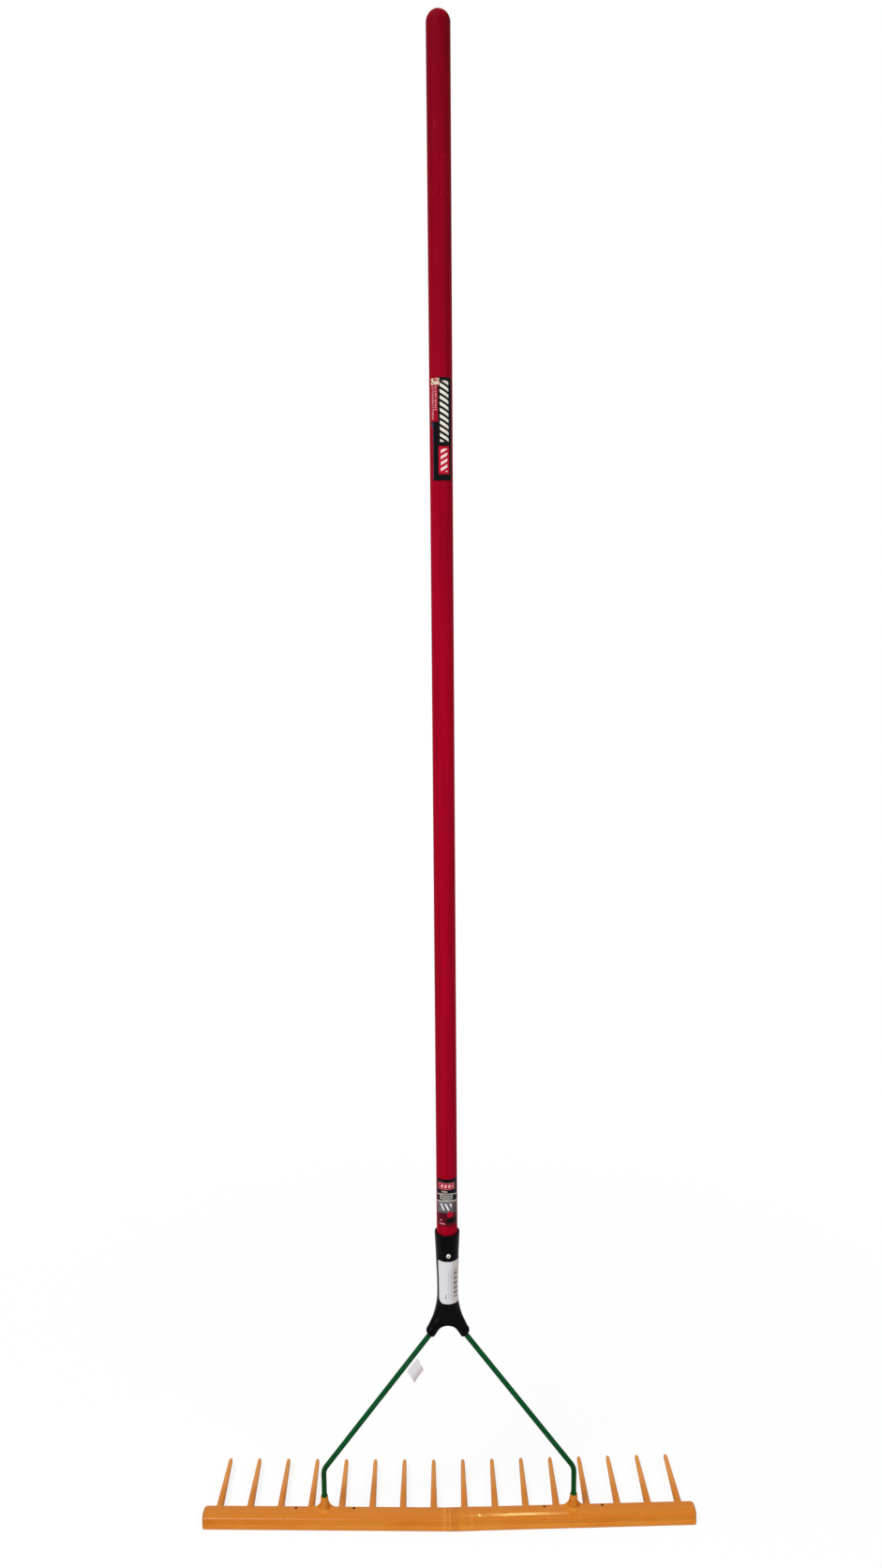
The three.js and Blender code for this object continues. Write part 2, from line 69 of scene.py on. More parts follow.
def length(name, default, note):
    """A length in metres that a user may change."""
    return FloatProperty(
        name=name, description=note, default=default, precision=4, subtype="DISTANCE", unit="LENGTH")


def angle(name, default, note):
    """An angle given in degrees and kept in radians."""
    return FloatProperty(
        name=name, description=note, default=math.radians(default), subtype="ANGLE", unit="ROTATION")


def number(name, default, note):
    """A plain number."""
    return FloatProperty(name=name, description=note, default=default, precision=3)


def count(name, default, note):
    """A whole number of faces or steps."""
    return IntProperty(name=name, description=note, default=default, min=3)


def linear(red, green, blue):
    """Linear light of a colour written in the 0 to 255 values of a screen."""
    screen = np.array((red, green, blue)) / 255
    light = np.where(screen <= 0.04045, screen / 12.92, ((screen + 0.055) / 1.055) ** 2.4)
    return tuple(float(value) for value in light)


def colour(name, screen, note):
    """A colour of a finish, given in screen values."""
    return FloatVectorProperty(
        name=name, description=note, default=linear(*screen), min=0, max=1, subtype="COLOR")


class HeadSizes(bpy.types.PropertyGroup):
    """Sizes of the moulded head: bar, bosses and tines."""

    half_width: length("Half width", BAR_HIGH.x, "From the middle of the head to its end")
    seam: length("Seam", 0.002, "How far left of the middle the two halves meet")
    seam_gap: length("Seam gap", 0.00003, "Gap between the two halves")
    sweep_back: length("Sweep", 0.0068, "How far each end lies behind the middle")
    front: length("Front face", -0.0165, "Front face of the bar, at the bosses")
    back: length("Back face", 0.0055, "Back face of the bar, at the bosses")
    height: length("Bar height", 0.015, "Crown of the bar above the ground")
    wall: length("Wall", 0.003, "Thickness of the walls round the pockets under the bar")
    rib: length("Rib", 0.0025, "Thickness of the ribs under the bar")
    sleeve: length("Sleeve", 0.033, "Length of the closed end that holds the tongue")
    end_crown: length("End crown", 0.0004, "How far the end faces bulge")
    end_bulge: length("End bulge", 0.0006, "How far the ends draw in towards the front")
    end_round: length("End round", 0.005, "Rounding of the back corners seen from above")
    end_edge: length("End edge", 0.0022, "Rounding of the other edges of the ends")
    pitch: length("Tine pitch", 0.0381, "From tine to tine")
    tine_reach: length("Tine reach", 0.086, "Length of the tines behind the bar")
    tine_root_width: length("Root width", 0.0086, "Width of a tine past its fillet")
    tine_tip_width: length("Tip width", 0.0052, "Width of a tine before its rounded tip")
    tine_root_height: length("Root height", 0.0104, "Height of a tine at its root")
    tine_tip_height: length("Tip height", 0.006, "Height of a tine before its rounded tip")
    boss_place: length("Boss place", 0.154, "From the middle to a boss")
    boss_top: length("Boss top", 0.033, "Mouth of a boss above the ground")
    boss_foot_radius: length("Boss foot", 0.0058, "Radius of a boss at its foot")
    boss_mouth_radius: length("Boss mouth", 0.0045, "Radius of a boss at its mouth")
    gusset_reach: length("Gusset reach", 0.019, "From a boss to where its web meets the bar")
    gusset_height: length("Gusset height", 0.011, "Height of the web against its boss")
    hole_reach: length("Hole reach", 0.036, "From a boss to the small holes beside it")
    hole_setback: length("Hole setback", 0.002, "How far the small holes lie behind the rods")
    hole_radius: length("Hole radius", 0.0016, "Radius of the small holes")
    notch_place: length("Notch place", 0.004, "From the middle to the small notch in the lip")
    notch_width: length("Notch width", 0.003, "Width of that notch")
    notch_height: length("Notch height", 0.002, "Height of that notch")


class RodSizes(bpy.types.PropertyGroup):
    """Sizes of the two bent rods."""

    radius: length("Radius", 0.003175, "Radius of a rod")
    place: length("Place", 0.154, "From the middle to a rod's foot")
    foot: length("Foot", ROD_LOW.z, "Lower end of a rod above the ground")
    bend_height: length("Bend height", 0.069, "Height where the two straight parts would cross")
    bend_radius: length("Bend radius", 0.018, "Radius of the bend, at the rod's middle")
    mouth_place: length("Mouth place", 0.021, "From the middle to the arm's mouth")
    mouth_height: length("Mouth height", 0.25, "Height of the arm's mouth")
    insertion: length("Insertion", 0.0277, "How far a rod goes into its arm")
    collar_place: length("Collar place", 0.0288, "Lower end of the bead in the boss's mouth")
    collar_height: length("Collar height", 0.008, "Height of the bead in the boss's mouth")
    collar_swell: length("Collar swell", 0.0007, "How far the bead stands off the rod")
    sides: count("Sides", 40, "Faces round a rod")


class SocketSizes(bpy.types.PropertyGroup):
    """Sizes of the forked socket and its rivet."""

    waist_height: length("Waist height", 0.308, "Narrowest place of the socket")
    waist_radius: length("Waist radius", 0.01235, "Radius of the socket there")
    rim_height: length("Rim height", SOCKET_HIGH.z, "Rim of the cup")
    rim_radius: length("Rim radius", 0.0149, "Radius of the rim")
    rim_round: length("Rim round", 0.0011, "Rounding of the rim")
    cup_radius: length("Cup radius", 0.0125, "Inside radius of the cup at its rim")
    cup_floor: length("Cup floor", 0.3187, "Height of the cup's floor")
    cup_floor_radius: length("Cup floor radius", 0.0097, "Inside radius at the floor")
    bore_radius: length("Bore radius", 0.0034, "Radius of the holes for the rods")
    rivet_radius: length("Rivet radius", 0.0027, "Radius of the rivet's head")
    rivet_turn: angle("Rivet turn", 5, "Turn of the rivet from the front")


class HandleSizes(bpy.types.PropertyGroup):
    """Sizes of the wooden handle."""

    foot: length("Foot", HANDLE_LOW.z, "Lower end of the handle, inside the cup")
    top: length("Top", HANDLE_HIGH.z, "Top of the dome")
    foot_radius: length("Foot radius", 0.0095, "Radius at the lower end")
    radius: length("Radius", 0.0123, "Radius above the cup")
    top_radius: length("Top radius", HANDLE_HIGH.x, "Radius below the dome")
    swell: length("Swell length", 0.5, "Length over which the handle thickens towards its top")
    sides: count("Sides", 96, "Faces round the handle")


class WrapSizes(bpy.types.PropertyGroup):
    """Sizes of the printed films and the paper flag."""

    thickness: length("Thickness", 0.00025, "Thickness of a film")
    lift: length("Lift", 0.00005, "Gap under a film")
    sticker_from: angle("Sticker from", -53, "Left edge of the sticker, from the front")
    sticker_to: angle("Sticker to", 94, "Right edge of the sticker")
    sticker_corner: length("Sticker corner", 0.007, "Rounding of the sticker's lower corners")
    label_from: angle("Label from", -62, "Left edge of the label")
    label_to: angle("Label to", 68, "Right edge of the label")
    label_corner: length("Label corner", 0.002, "Rounding of the label's corners")
    decal_from: angle("Decal from", -62, "Left edge of the upper part of the decal")
    decal_narrow: angle("Decal narrow", -44, "Left edge of its lower part")
    decal_to: angle("Decal to", 57, "Right edge of the decal")
    flag_height: length("Flag height", 0.215, "Height of the flag's middle on its rod")
    flag_width: length("Flag width", 0.021, "Width of the flag along its rod")
    flag_reach: length("Flag reach", 0.023, "From the rod's middle to the flag's free edge")
    flag_tail: length("Flag tail", 0.0063, "Length of the clear tail from the rod's middle")
    flag_turn: angle("Flag turn", 54, "Turn of the flag about its rod towards the viewer")


class Finishes(bpy.types.PropertyGroup):
    """Colours of the finishes."""

    head: colour("Head", (202, 116, 31), "Moulded plastic of the head")
    head_pale: colour("Head, pale", (215, 137, 51), "Its paler clouds")
    paint: colour("Paint", (164, 4, 33), "Painted wood above the socket")
    paint_top: colour("Paint, top", (117, 1, 21), "Painted wood at the top")
    black: colour("Black", (7, 6, 7), "Moulded plastic of the socket")
    green: colour("Green", (8, 82, 38), "Coating of the rods")
    rivet: colour("Rivet", (226, 224, 220), "Metal of the rivet")
    paper: colour("Paper", (226, 225, 229), "White paper")
    film: colour("Film", (10, 7, 9), "Dark ground of the printed films")
    red: colour("Print red", (182, 12, 44), "Red print")
    cream: colour("Print cream", (232, 226, 214), "Pale print")
    grey: colour("Print grey", (112, 110, 116), "Grey print")
    maroon: colour("Print maroon", (82, 8, 24), "Dark red print")


class StageSettings(bpy.types.PropertyGroup):
    """Where the camera and the lamps stand."""

    camera_place: FloatVectorProperty(
        name="Camera place", description="Where the camera stands", default=(-0.0121, -1.3042, 1.1223),
        subtype="TRANSLATION", unit="LENGTH")
    camera_pitch: angle("Camera pitch", 8.76, "How far the camera looks down")
    camera_yaw: angle("Camera yaw", 0.06, "How far the camera looks to the right")
    camera_roll: angle("Camera roll", 0.5, "How far the camera leans to the right")
    lens: number("Lens", 27.04, "Focal length in millimetres for a 36 millimetre long side")
    shift: number("Shift", 0.00437, "Sideways shift of the view, in long sides of the picture")
    key: number("Key lamp", 220.0, "Power of the lamp above on the left, in watts")
    fill: number("Fill lamp", 17.0, "Power of the lamp high on the right, in watts")
    gleam: number("Gleam lamp", 42.0, "Power of the lamp far behind, which gleams on the bar, in watts")
    sky: number("Sky", 0.4, "Brightness of the surroundings")


# Surfaces

def smooth_rows(rows, steps):
    """Rows between the given ones. Each stretch is the cubic whose slope at a row is half the
    step from the row before it to the row after it."""
    rows = np.asarray(rows, float)
    padded = np.vstack([2 * rows[0] - rows[1], rows, 2 * rows[-1] - rows[-2]])
    place = np.linspace(0, len(rows) - 1, (len(rows) - 1) * steps + 1)
    at = np.minimum(place.astype(int), len(rows) - 2)
    t = (place - at)[:, None]
    a, b, c, d = (padded[at + i] for i in range(4))
    return b + t / 2 * (c - a + t * (2 * a - 5 * b + 4 * c - d + t * (3 * b - a - 3 * c + d)))


def grid_faces(rows, columns, closed=True):
    """Four-sided faces of a grid of points kept row by row. In closed rows the last point is
    joined to the first."""
    row = np.arange(rows - 1)[:, None] * columns
    column = np.arange(columns if closed else columns - 1)
    after = (column + 1) % columns
    corners = [row + column, row + after, row + columns + after, row + columns + column]
    return np.stack(corners, -1).reshape(-1, 4)


def ease(low, high, value):
    """Nought below low, one above high, and the cubic 3t^2 - 2t^3 between them."""
    t = np.clip((value - low) / (high - low), 0, 1)
    return t * t * (3 - 2 * t)


def quarter(radius, depth):
    """How far a rounded edge of this radius falls back at a depth below its crest: the radius
    less the root of its square less the square of what is left of the depth."""
    left = np.clip(radius - depth, 0, radius)
    return radius - np.sqrt(radius ** 2 - left ** 2)


def quarter_turns(steps):
    """Turns from nought to a right angle."""
    return np.linspace(0, np.pi / 2, steps)


def round_turns(sides):
    """Turns of points spread evenly round a circle."""
    return np.linspace(0, 2 * np.pi, sides, endpoint=False)


def turned(points, angle):
    """Points turned about the upright axis: x cos - y sin across, x sin + y cos back."""
    x, y, z = np.moveaxis(points, -1, 0)
    cos, sin = math.cos(angle), math.sin(angle)
    return np.stack([x * cos - y * sin, x * sin + y * cos, z], -1)


def tube(x, y, z):
    """A shell of rings of points, one ring a row. Its first and last rings are single points."""
    points = np.stack(np.broadcast_arrays(x, y, z), -1)
    return points.reshape(-1, 3), grid_faces(*points.shape[:2])


def turned_shell(profile, sides, place=0):
    """A profile of radius and height carried round an upright line. Point (i, j) lies at the
    radius times the cosine and sine of the turn j. The first and last radii are nought."""
    radius, height = np.asarray(profile, float).T[..., None]
    turn = round_turns(sides)
    return tube(place + radius * np.cos(turn), radius * np.sin(turn), height)


def sheet(front, back, across, along):
    """A thin closed shell between two skins, which are grids of points. Returns it with each
    point's place on the flat sheet."""
    loops = np.concatenate([front, back[:, ::-1]], axis=1)
    rows, columns = loops.shape[:2]
    edge = np.arange(front.shape[1] - 1)
    cap = np.stack([edge, edge + 1, columns - 2 - edge, columns - 1 - edge], -1)
    faces = np.vstack([grid_faces(rows, columns), cap[:, ::-1], cap + (rows - 1) * columns])
    flat = np.stack(np.broadcast_arrays(across, along), -1)
    flat = np.concatenate([flat, flat[:, ::-1]], axis=1)
    return (loops.reshape(-1, 3), faces), flat.reshape(-1, 2)


def mirrored(shell):
    """The same shell on the other side of the middle."""
    points, faces = shell
    return points * (-1, 1, 1), faces[:, ::-1]


def add_piece(name, shells, finish, replaced, sharp=40, uv=None, shade=None):
    """Makes one object of closed shells: coincident points are merged, faces turn outwards, and
    edges sharper than the given angle in degrees stay sharp. uv and shade give each point's
    place on the surface and its share of painted shade. No point may coincide with another
    where uv is given."""
    offsets = np.cumsum([0] + [len(points) for points, _ in shells])
    points = np.vstack([shell[0] for shell in shells])
    faces = np.vstack([shell[1] + offset for shell, offset in zip(shells, offsets)])
    mesh = bpy.data.meshes.new(name)
    mesh.from_pydata(points.tolist(), [], faces.tolist())
    if uv is not None:
        corner = np.zeros(len(mesh.loops), np.int32)
        mesh.loops.foreach_get("vertex_index", corner)
        layer = mesh.uv_layers.new(name="Surface")
        layer.uv.foreach_set("vector", np.asarray(uv, np.float32)[corner].ravel())
    if shade is not None:
        attribute = mesh.attributes.new("shade", "FLOAT", "POINT")
        attribute.data.foreach_set("value", np.asarray(shade, np.float32))
    work = bmesh.new()
    work.from_mesh(mesh)
    bmesh.ops.remove_doubles(work, verts=work.verts, dist=MM / 500)
    bmesh.ops.dissolve_degenerate(work, edges=work.edges, dist=MM / 2000)
    bmesh.ops.recalc_face_normals(work, faces=work.faces)
    work.to_mesh(mesh)
    work.free()
    mesh.shade_smooth()
    mesh.set_sharp_from_angle(angle=math.radians(sharp))
    mesh.materials.append(finish)
    piece = bpy.data.objects.new(name, mesh)
    bpy.context.scene.collection.objects.link(piece)
    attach(piece, BODY)
    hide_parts(*replaced)


# Finishes

class Wire:
    """One output of a node. Arithmetic on wires and numbers adds Math nodes."""

    def __init__(self, nodes, socket):
        self.nodes = nodes
        self.socket = socket

    def __add__(self, other):
        return self.nodes.math("ADD", self, other)

    __radd__ = __add__

    def __sub__(self, other):
        return self.nodes.math("SUBTRACT", self, other)

    def __rsub__(self, other):
        return self.nodes.math("SUBTRACT", other, self)

    def __mul__(self, other):
        return self.nodes.math("MULTIPLY", self, other)

    __rmul__ = __mul__

    def __truediv__(self, other):
        return self.nodes.math("DIVIDE", self, other)

    def __abs__(self):
        return self.nodes.math("ABSOLUTE", self)

    def step(self, edge, soft):
        """Nought below the edge and one above it, eased over twice the soft width."""
        return self.nodes.node(
            "ShaderNodeMapRange", {"interpolation_type": "SMOOTHSTEP"},
            {0: self, 1: edge - soft, 2: edge + soft})

    def band(self, low, high, soft):
        """One between two edges."""
        return self.step(low, soft) - self.step(high, soft)


class Nodes:
    """Adds nodes to a node tree."""

    def __init__(self, tree):
        self.tree = tree

    def node(self, kind, settings=None, sockets=None, output=0):
        """Adds a node of a type, sets its settings, then its sockets by name or number, and
        returns one of its outputs."""
        made = self.tree.nodes.new(kind)
        for key, value in (settings or {}).items():
            setattr(made, key, value)
        self.fill(made, sockets or {})
        return Wire(self, made.outputs[output])

    def fill(self, made, sockets):
        """Links wires to a node's sockets, and sets plain values on the others."""
        for key, value in sockets.items():
            if isinstance(value, Wire):
                self.tree.links.new(value.socket, made.inputs[key])
            else:
                made.inputs[key].default_value = value

    def math(self, operation, *values):
        return self.node("ShaderNodeMath", {"operation": operation}, dict(enumerate(values)))

    def seen(self):
        """One for what the camera, a mirror or clear film shows, and nought for light."""
        camera, glossy, through = (
            self.node("ShaderNodeLightPath", output=f"Is {ray} Ray")
            for ray in ("Camera", "Glossy", "Transmission"))
        return self.math("MAXIMUM", camera, self.math("MAXIMUM", glossy, through))


class Finish(Nodes):
    """A node material with one Principled shader."""

    def __init__(self, name):
        self.material = bpy.data.materials.new(name)
        self.material.use_nodes = True
        super().__init__(self.material.node_tree)
        self.shader = self.tree.nodes["Principled BSDF"]
        self.place = self.node("ShaderNodeTexCoord", output="Object")

    def axes(self, vector):
        """The three parts of a vector in metres, given in millimetres."""
        return [self.node("ShaderNodeSeparateXYZ", None, {0: vector}, i) / MM for i in range(3)]

    def surface(self):
        """Where a point lies on an unrolled film, across and up, in millimetres."""
        return self.axes(self.node("ShaderNodeUVMap", {"uv_map": "Surface"}))[:2]

    def shade(self):
        """The share of painted shade that each point was given."""
        return self.node("ShaderNodeAttribute", {"attribute_name": "shade"}, None, "Fac")

    def noise(self, scale, detail=3, roughness=0.5, stretch=(1, 1, 1)):
        """Soft noise from nought to one over the piece, with its grain drawn out by the stretch."""
        drawn = self.node(
            "ShaderNodeVectorMath", {"operation": "MULTIPLY"}, {0: self.place, 1: stretch})
        return self.node(
            "ShaderNodeTexNoise", None,
            {"Vector": drawn, "Scale": scale, "Detail": detail, "Roughness": roughness})

    def waves(self, value, length):
        """A sine of a value, which repeats after this length."""
        return self.math("SINE", value * (2 * math.pi / length))

    def blend(self, share, low, high):
        """A colour that goes from low to high as the share goes from nought to one."""
        low, high = (end if isinstance(end, Wire) else (*end, 1) for end in (low, high))
        return self.node("ShaderNodeMix", {"data_type": "RGBA"}, {0: share, 6: low, 7: high}, 2)

    def layers(self, body, *coats):
        """A colour with others laid over it in turn, each by its share."""
        for share, tint in coats:
            body = self.blend(share, body, tint)
        return body

    def bump(self, height, distance):
        """Relief of the given depth in metres."""
        return self.node("ShaderNodeBump", None, {"Height": height, "Distance": distance})

    def finish(self, **sockets):
        """Sets the shader's sockets, with words joined by underscores for their names."""
        self.fill(self.shader, {key.replace("_", " "): value for key, value in sockets.items()})
        return self.material


def head_plastic(colours, sizes):
    """Moulded plastic: pale clouds, flow lines along the bar, fine grain and faint scuffs. The
    crown of the front is glossy and the tines are paler. Painted shade darkens the front face
    below the crown, the seam, the ends and the points given shade. Painted highlights lighten
    the lower lip, strips beside the seam and a strip near the end of the sleeve."""
    made = Finish("head_plastic")
    clouds = made.noise(26, 4, 0.55)
    flow = made.noise(40, 3, 0.5, (0.25, 3, 3))
    specks = made.noise(420, 2, 0.6)
    scuffs = made.noise(75, 6, 0.75, (0.4, 2.5, 2.5)).step(0.62, 0.05)
    share = clouds * 0.9 + flow * 0.6 + specks * 0.3 - 0.4
    line, deep, height = made.axes(made.place)
    front = 1 - deep.step(-11, 1)
    wider = (1 - line.step(56, 12)) * 0.9
    glossy = (height + wider).step(13.35, 0.5) - height.step(15.15, 0.5)
    # Painted highlights: light strips along both edges of the seam, and a fainter one near the end of the
    # sleeve
    painted_edge_highlights = line.band(-7.4, -3.6, 1) + line.band(-0.4, 1.6, 0.6) + line.band(26.2, 28.6, 0.8) * 0.5
    # Painted shade at the two ends of the bar
    ends = abs(line).step(sizes.half_width / MM - 1.9, 0.6)
    body = made.layers(
        made.blend(share.step(0.5, 0.45), colours.head, colours.head_pale),
        (scuffs * 0.1, linear(236, 186, 128)),
        # Painted shade: the front face below the crown is darker
        (front * height.band(10.2, 14.3, 0.8) * 0.45, linear(192, 102, 24)),
        (glossy * 0.6, linear(194, 110, 12)),
        # Painted highlight on the lower lip of the front
        (front * (1 - height.step(3.8, 1.2)) * 0.4, linear(238, 156, 76)),
        (deep.step(40, 18) * 0.42, linear(224, 160, 91)),
        (painted_edge_highlights * clouds * 0.5, linear(232, 162, 84)),
        # Painted shade along the seam
        (line.band(-3, -1, 0.6) * 0.1, linear(140, 72, 22)),
        (line.band(1.6, 11.6, 1) * 0.2, linear(160, 84, 26)),
        (ends * 0.75, linear(128, 62, 18)),
        # Painted shade given to points: in the small holes, the notch and the tongue
        (made.shade(), linear(20, 10, 6)))
    grain = made.noise(1500, 2, 0.6)
    return made.finish(
        Base_Color=body, Roughness=0.38 + flow * 0.12 + scuffs * 0.12,
        Normal=made.bump(grain * 0.35 + flow * 0.65, 0.00006), Specular_IOR_Level=0.04,
        Coat_Weight=0.02 + glossy * (0.32 - scuffs * 0.1), Coat_Roughness=0.12)


def painted_wood(colours):
    """Satin paint on turned wood: deeper towards the top, faint long streaks and small dents."""
    made = Finish("painted_wood")
    streaks = made.noise(30, 4, 0.6, (6, 6, 0.12))
    clouds = made.noise(14, 4, 0.6, (2, 2, 0.6))
    specks = made.noise(320, 2, 0.7, (1, 1, 0.35)).step(0.7, 0.04)
    _, _, height = made.axes(made.place)
    upper = made.node("ShaderNodeMapRange", None, {0: height, 1: 1050, 2: 1700})
    body = made.layers(
        made.blend(upper + (clouds - 0.5) * 0.4, colours.paint, colours.paint_top),
        (streaks.step(0.56, 0.14) * 0.35, linear(92, 2, 14)),
        (specks * 0.3, linear(196, 40, 62)))
    grain = made.noise(90, 3, 0.6, (8, 8, 0.3))
    peel = made.noise(700, 2, 0.5)
    return made.finish(
        Base_Color=body, Roughness=0.48 + clouds * 0.14,
        Normal=made.bump(grain * 0.6 + peel * 0.4, 0.00008), Specular_IOR_Level=0.02)


def green_coating(colours):
    """Glossy coating on steel, thin in places, with an orange-peel skin. Painted shade darkens
    it at the foot and the bend."""
    made = Finish("green_steel")
    _, _, height = made.axes(made.place)
    clouds = made.noise(60, 4, 0.6)
    chips = made.noise(260, 4, 0.7).step(0.73, 0.02)
    body = made.layers(
        colours.green,
        (clouds.step(0.5, 0.3) * 0.5, linear(4, 52, 22)),
        # Painted shade: darker on the foot, and darker still at the bend
        ((1 - height.step(95, 12)) * 0.9, linear(8, 71, 25)),
        (height.band(60, 78, 6) * 0.45, linear(6, 46, 12)),
        (chips * 0.4, linear(40, 104, 66)))
    peel = made.noise(620, 2, 0.5)
    return made.finish(
        Base_Color=body, Roughness=0.22 + clouds * 0.16,
        Normal=made.bump(peel * 0.6 + clouds * 0.4, 0.00004), Specular_IOR_Level=0.04)


def black_plastic(colours):
    """Black moulded plastic with a soft sheen, worn a little paler in places, and a painted
    highlight along the left arm."""
    made = Finish("black_plastic")
    clouds = made.noise(45, 4, 0.6)
    rubs = made.noise(130, 5, 0.75, (1, 1, 0.3)).step(0.66, 0.06)
    across, deep, up = made.axes(made.place)
    # How far a point lies off a line that slants with the arm
    off = abs(across) * 0.854 + up * 0.52 - 152.5
    # Painted highlight: a pale bluish reflection along the front of the left arm
    painted_arm_highlight = off.band(-0.6, 0.4, 0.5) * (up.band(267, 274, 2.5) + up.band(257.5, 261, 1.5) * 0.8)
    painted_arm_highlight = painted_arm_highlight * (1 - across.step(0, 1)) * deep.band(-12, -1, 2)
    body = made.layers(
        colours.black, (rubs * 0.3, linear(34, 30, 30)), (painted_arm_highlight * clouds, linear(58, 64, 88)))
    grain = made.noise(1300, 2, 0.6)
    return made.finish(
        Base_Color=body, Roughness=0.24 + clouds * 0.16 + rubs * 0.15,
        Normal=made.bump(grain * 0.4 + clouds * 0.6, 0.00007), Specular_IOR_Level=0.035)


def rivet_metal(colours):
    """Bright rolled metal with fine turning marks, and painted shade in the hollow of the head."""
    made = Finish("rivet_metal")
    marks = made.noise(2600, 3, 0.6)
    stains = made.noise(500, 3, 0.6)
    body = made.layers(
        # Painted shade in the hollow of the rivet's head
        colours.rivet, (stains * 0.4, linear(176, 174, 172)), (made.shade(), linear(30, 28, 28)))
    return made.finish(
        Base_Color=body, Metallic=1.0, Roughness=0.26 + stains * 0.2,
        Normal=made.bump(marks, 0.00003))


def patch(across, up, left, right, low, high, soft=0.35):
    """One inside a rectangle of a film, in millimetres."""
    return across.band(left, right, soft) * up.band(low, high, soft)


def film_height(node):
    """Height of a film in millimetres."""
    low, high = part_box(node)
    return (high.z - low.z) / MM


def sticker_print(colours):
    """White paper, warmer at the right, with soft grey rules, fine specks of print and a column
    of dark blocks near its right edge."""
    made = Finish("sticker_paper")
    fibres = made.noise(900, 4, 0.7)
    clouds = made.noise(90, 3, 0.5)
    across, up = made.surface()
    box = partial(patch, across, up)
    rules = across.band(0.4, 1.6, 0.4) * 0.5 + across.band(3.7, 4.8, 0.4)
    specks = made.waves(across, 1.5).step(0, 0.4) * made.noise(700, 2).step(0.52, 0.06)
    rows = made.waves(up, 6.2).step(-0.45, 0.2)
    hatch = 0.72 + made.waves(up + across * 0.7, 2.1).step(0, 0.4) * 0.28
    body = made.layers(
        made.blend(across.step(5.5, 1.5), colours.paper, linear(214, 204, 198)),
        (rules * up.band(6, 45, 3) * (clouds + 0.1) * 0.7, linear(120, 114, 112)),
        (specks * box(1.6, 6.4, 9, 44, 0.6) * 0.3, linear(110, 110, 120)),
        ((box(-2.5, -1, 7.6, 10) + box(-2.3, -1.2, 10.8, 13)) * 0.8, linear(74, 82, 104)),
        (hatch * rows * box(7.4, 13.4, 8, 44, 0.5) * 0.85, linear(66, 50, 44)),
        (clouds * 0.2, linear(200, 200, 206)))
    return made.finish(
        Base_Color=body, Roughness=0.5 + fibres * 0.15,
        Normal=made.bump(fibres * 0.7 + clouds * 0.3, 0.00005), Specular_IOR_Level=0.1)


def film_finish(made, body):
    """Printed film: glossy, a little worn and creased, over a printed body colour."""
    wear = made.noise(240, 4, 0.7)
    creases = made.noise(60, 3, 0.5, (2, 2, 0.5))
    return made.finish(
        Base_Color=made.blend(wear.step(0.7, 0.06) * 0.3, body, linear(120, 104, 104)),
        Roughness=0.3 + wear * 0.16, Normal=made.bump(creases, 0.00008), Specular_IOR_Level=0.06)


def label_print(colours):
    """Dark ground; a red bar edged pink, a short pale bar, two arched pale rules round a framed
    grey box, a grey field with slanting pale bars, a red disc, and a dark red foot with a black
    wedge and a pink lower left edge. Heights run down from the label's top."""
    made = Finish("label_film")
    across, up = made.surface()
    down = film_height("handle_label") - up
    box = partial(patch, across, down)
    pink = linear(216, 118, 134)
    dashes = made.waves(across + down * 0.3, 4.4).step(-0.1, 0.25)
    arched = down - across * across * 0.012
    rules = arched.band(17.6, 18.5, 0.3) + arched.band(26.2, 27.4, 0.3)
    field = made.layers(
        made.blend(across.step(7.2, 3), colours.grey, linear(98, 74, 68)),
        (down.step(34, 5) * 0.35, linear(52, 44, 48)))
    slant = made.waves(across - down * 0.45, 5.6).step(0.25, 0.25)
    aside, below = across - 3.6, down - 44
    disc = 1 - (aside * aside + below * below).step(14, 2.5)
    foot = box(-1.5, 12.5, 48.2, 54.6) * (across * 0.8 + down).step(50.2, 0.5)
    return film_finish(made, made.layers(
        made.blend(down.step(42, 0.8), colours.film, colours.maroon),
        (box(-7.5, -6.2, 2.4, 4), linear(120, 70, 78)),
        (box(-11, 9.6, 4.6, 12.6), pink),
        (box(-10.2, 8.8, 5.4, 11.8), colours.red),
        (dashes * box(-8.6, 7.2, 7, 10.2), linear(236, 208, 210)),
        (box(-6.4, 0.4, 14.4, 16.2), linear(186, 160, 160)),
        (rules * 0.85, colours.cream),
        (box(-8.4, 6.6, 20.2, 24.9), colours.cream),
        (box(-7.6, 5.8, 20.9, 24.2), linear(58, 56, 58)),
        (box(-5.6, 4.2, 21.8, 23.3), linear(150, 146, 146)),
        (arched.band(27.7, 41.5, 0.5), field),
        (slant * box(-9, 5.6, 30.4, 38.6), linear(232, 230, 230)),
        (disc, colours.red),
        (foot, colours.film),
        (box(-9.5, -2.4, 54.8, 56.6), pink),
        (box(-8.4, -6.2, 50.4, 52.4), pink)))


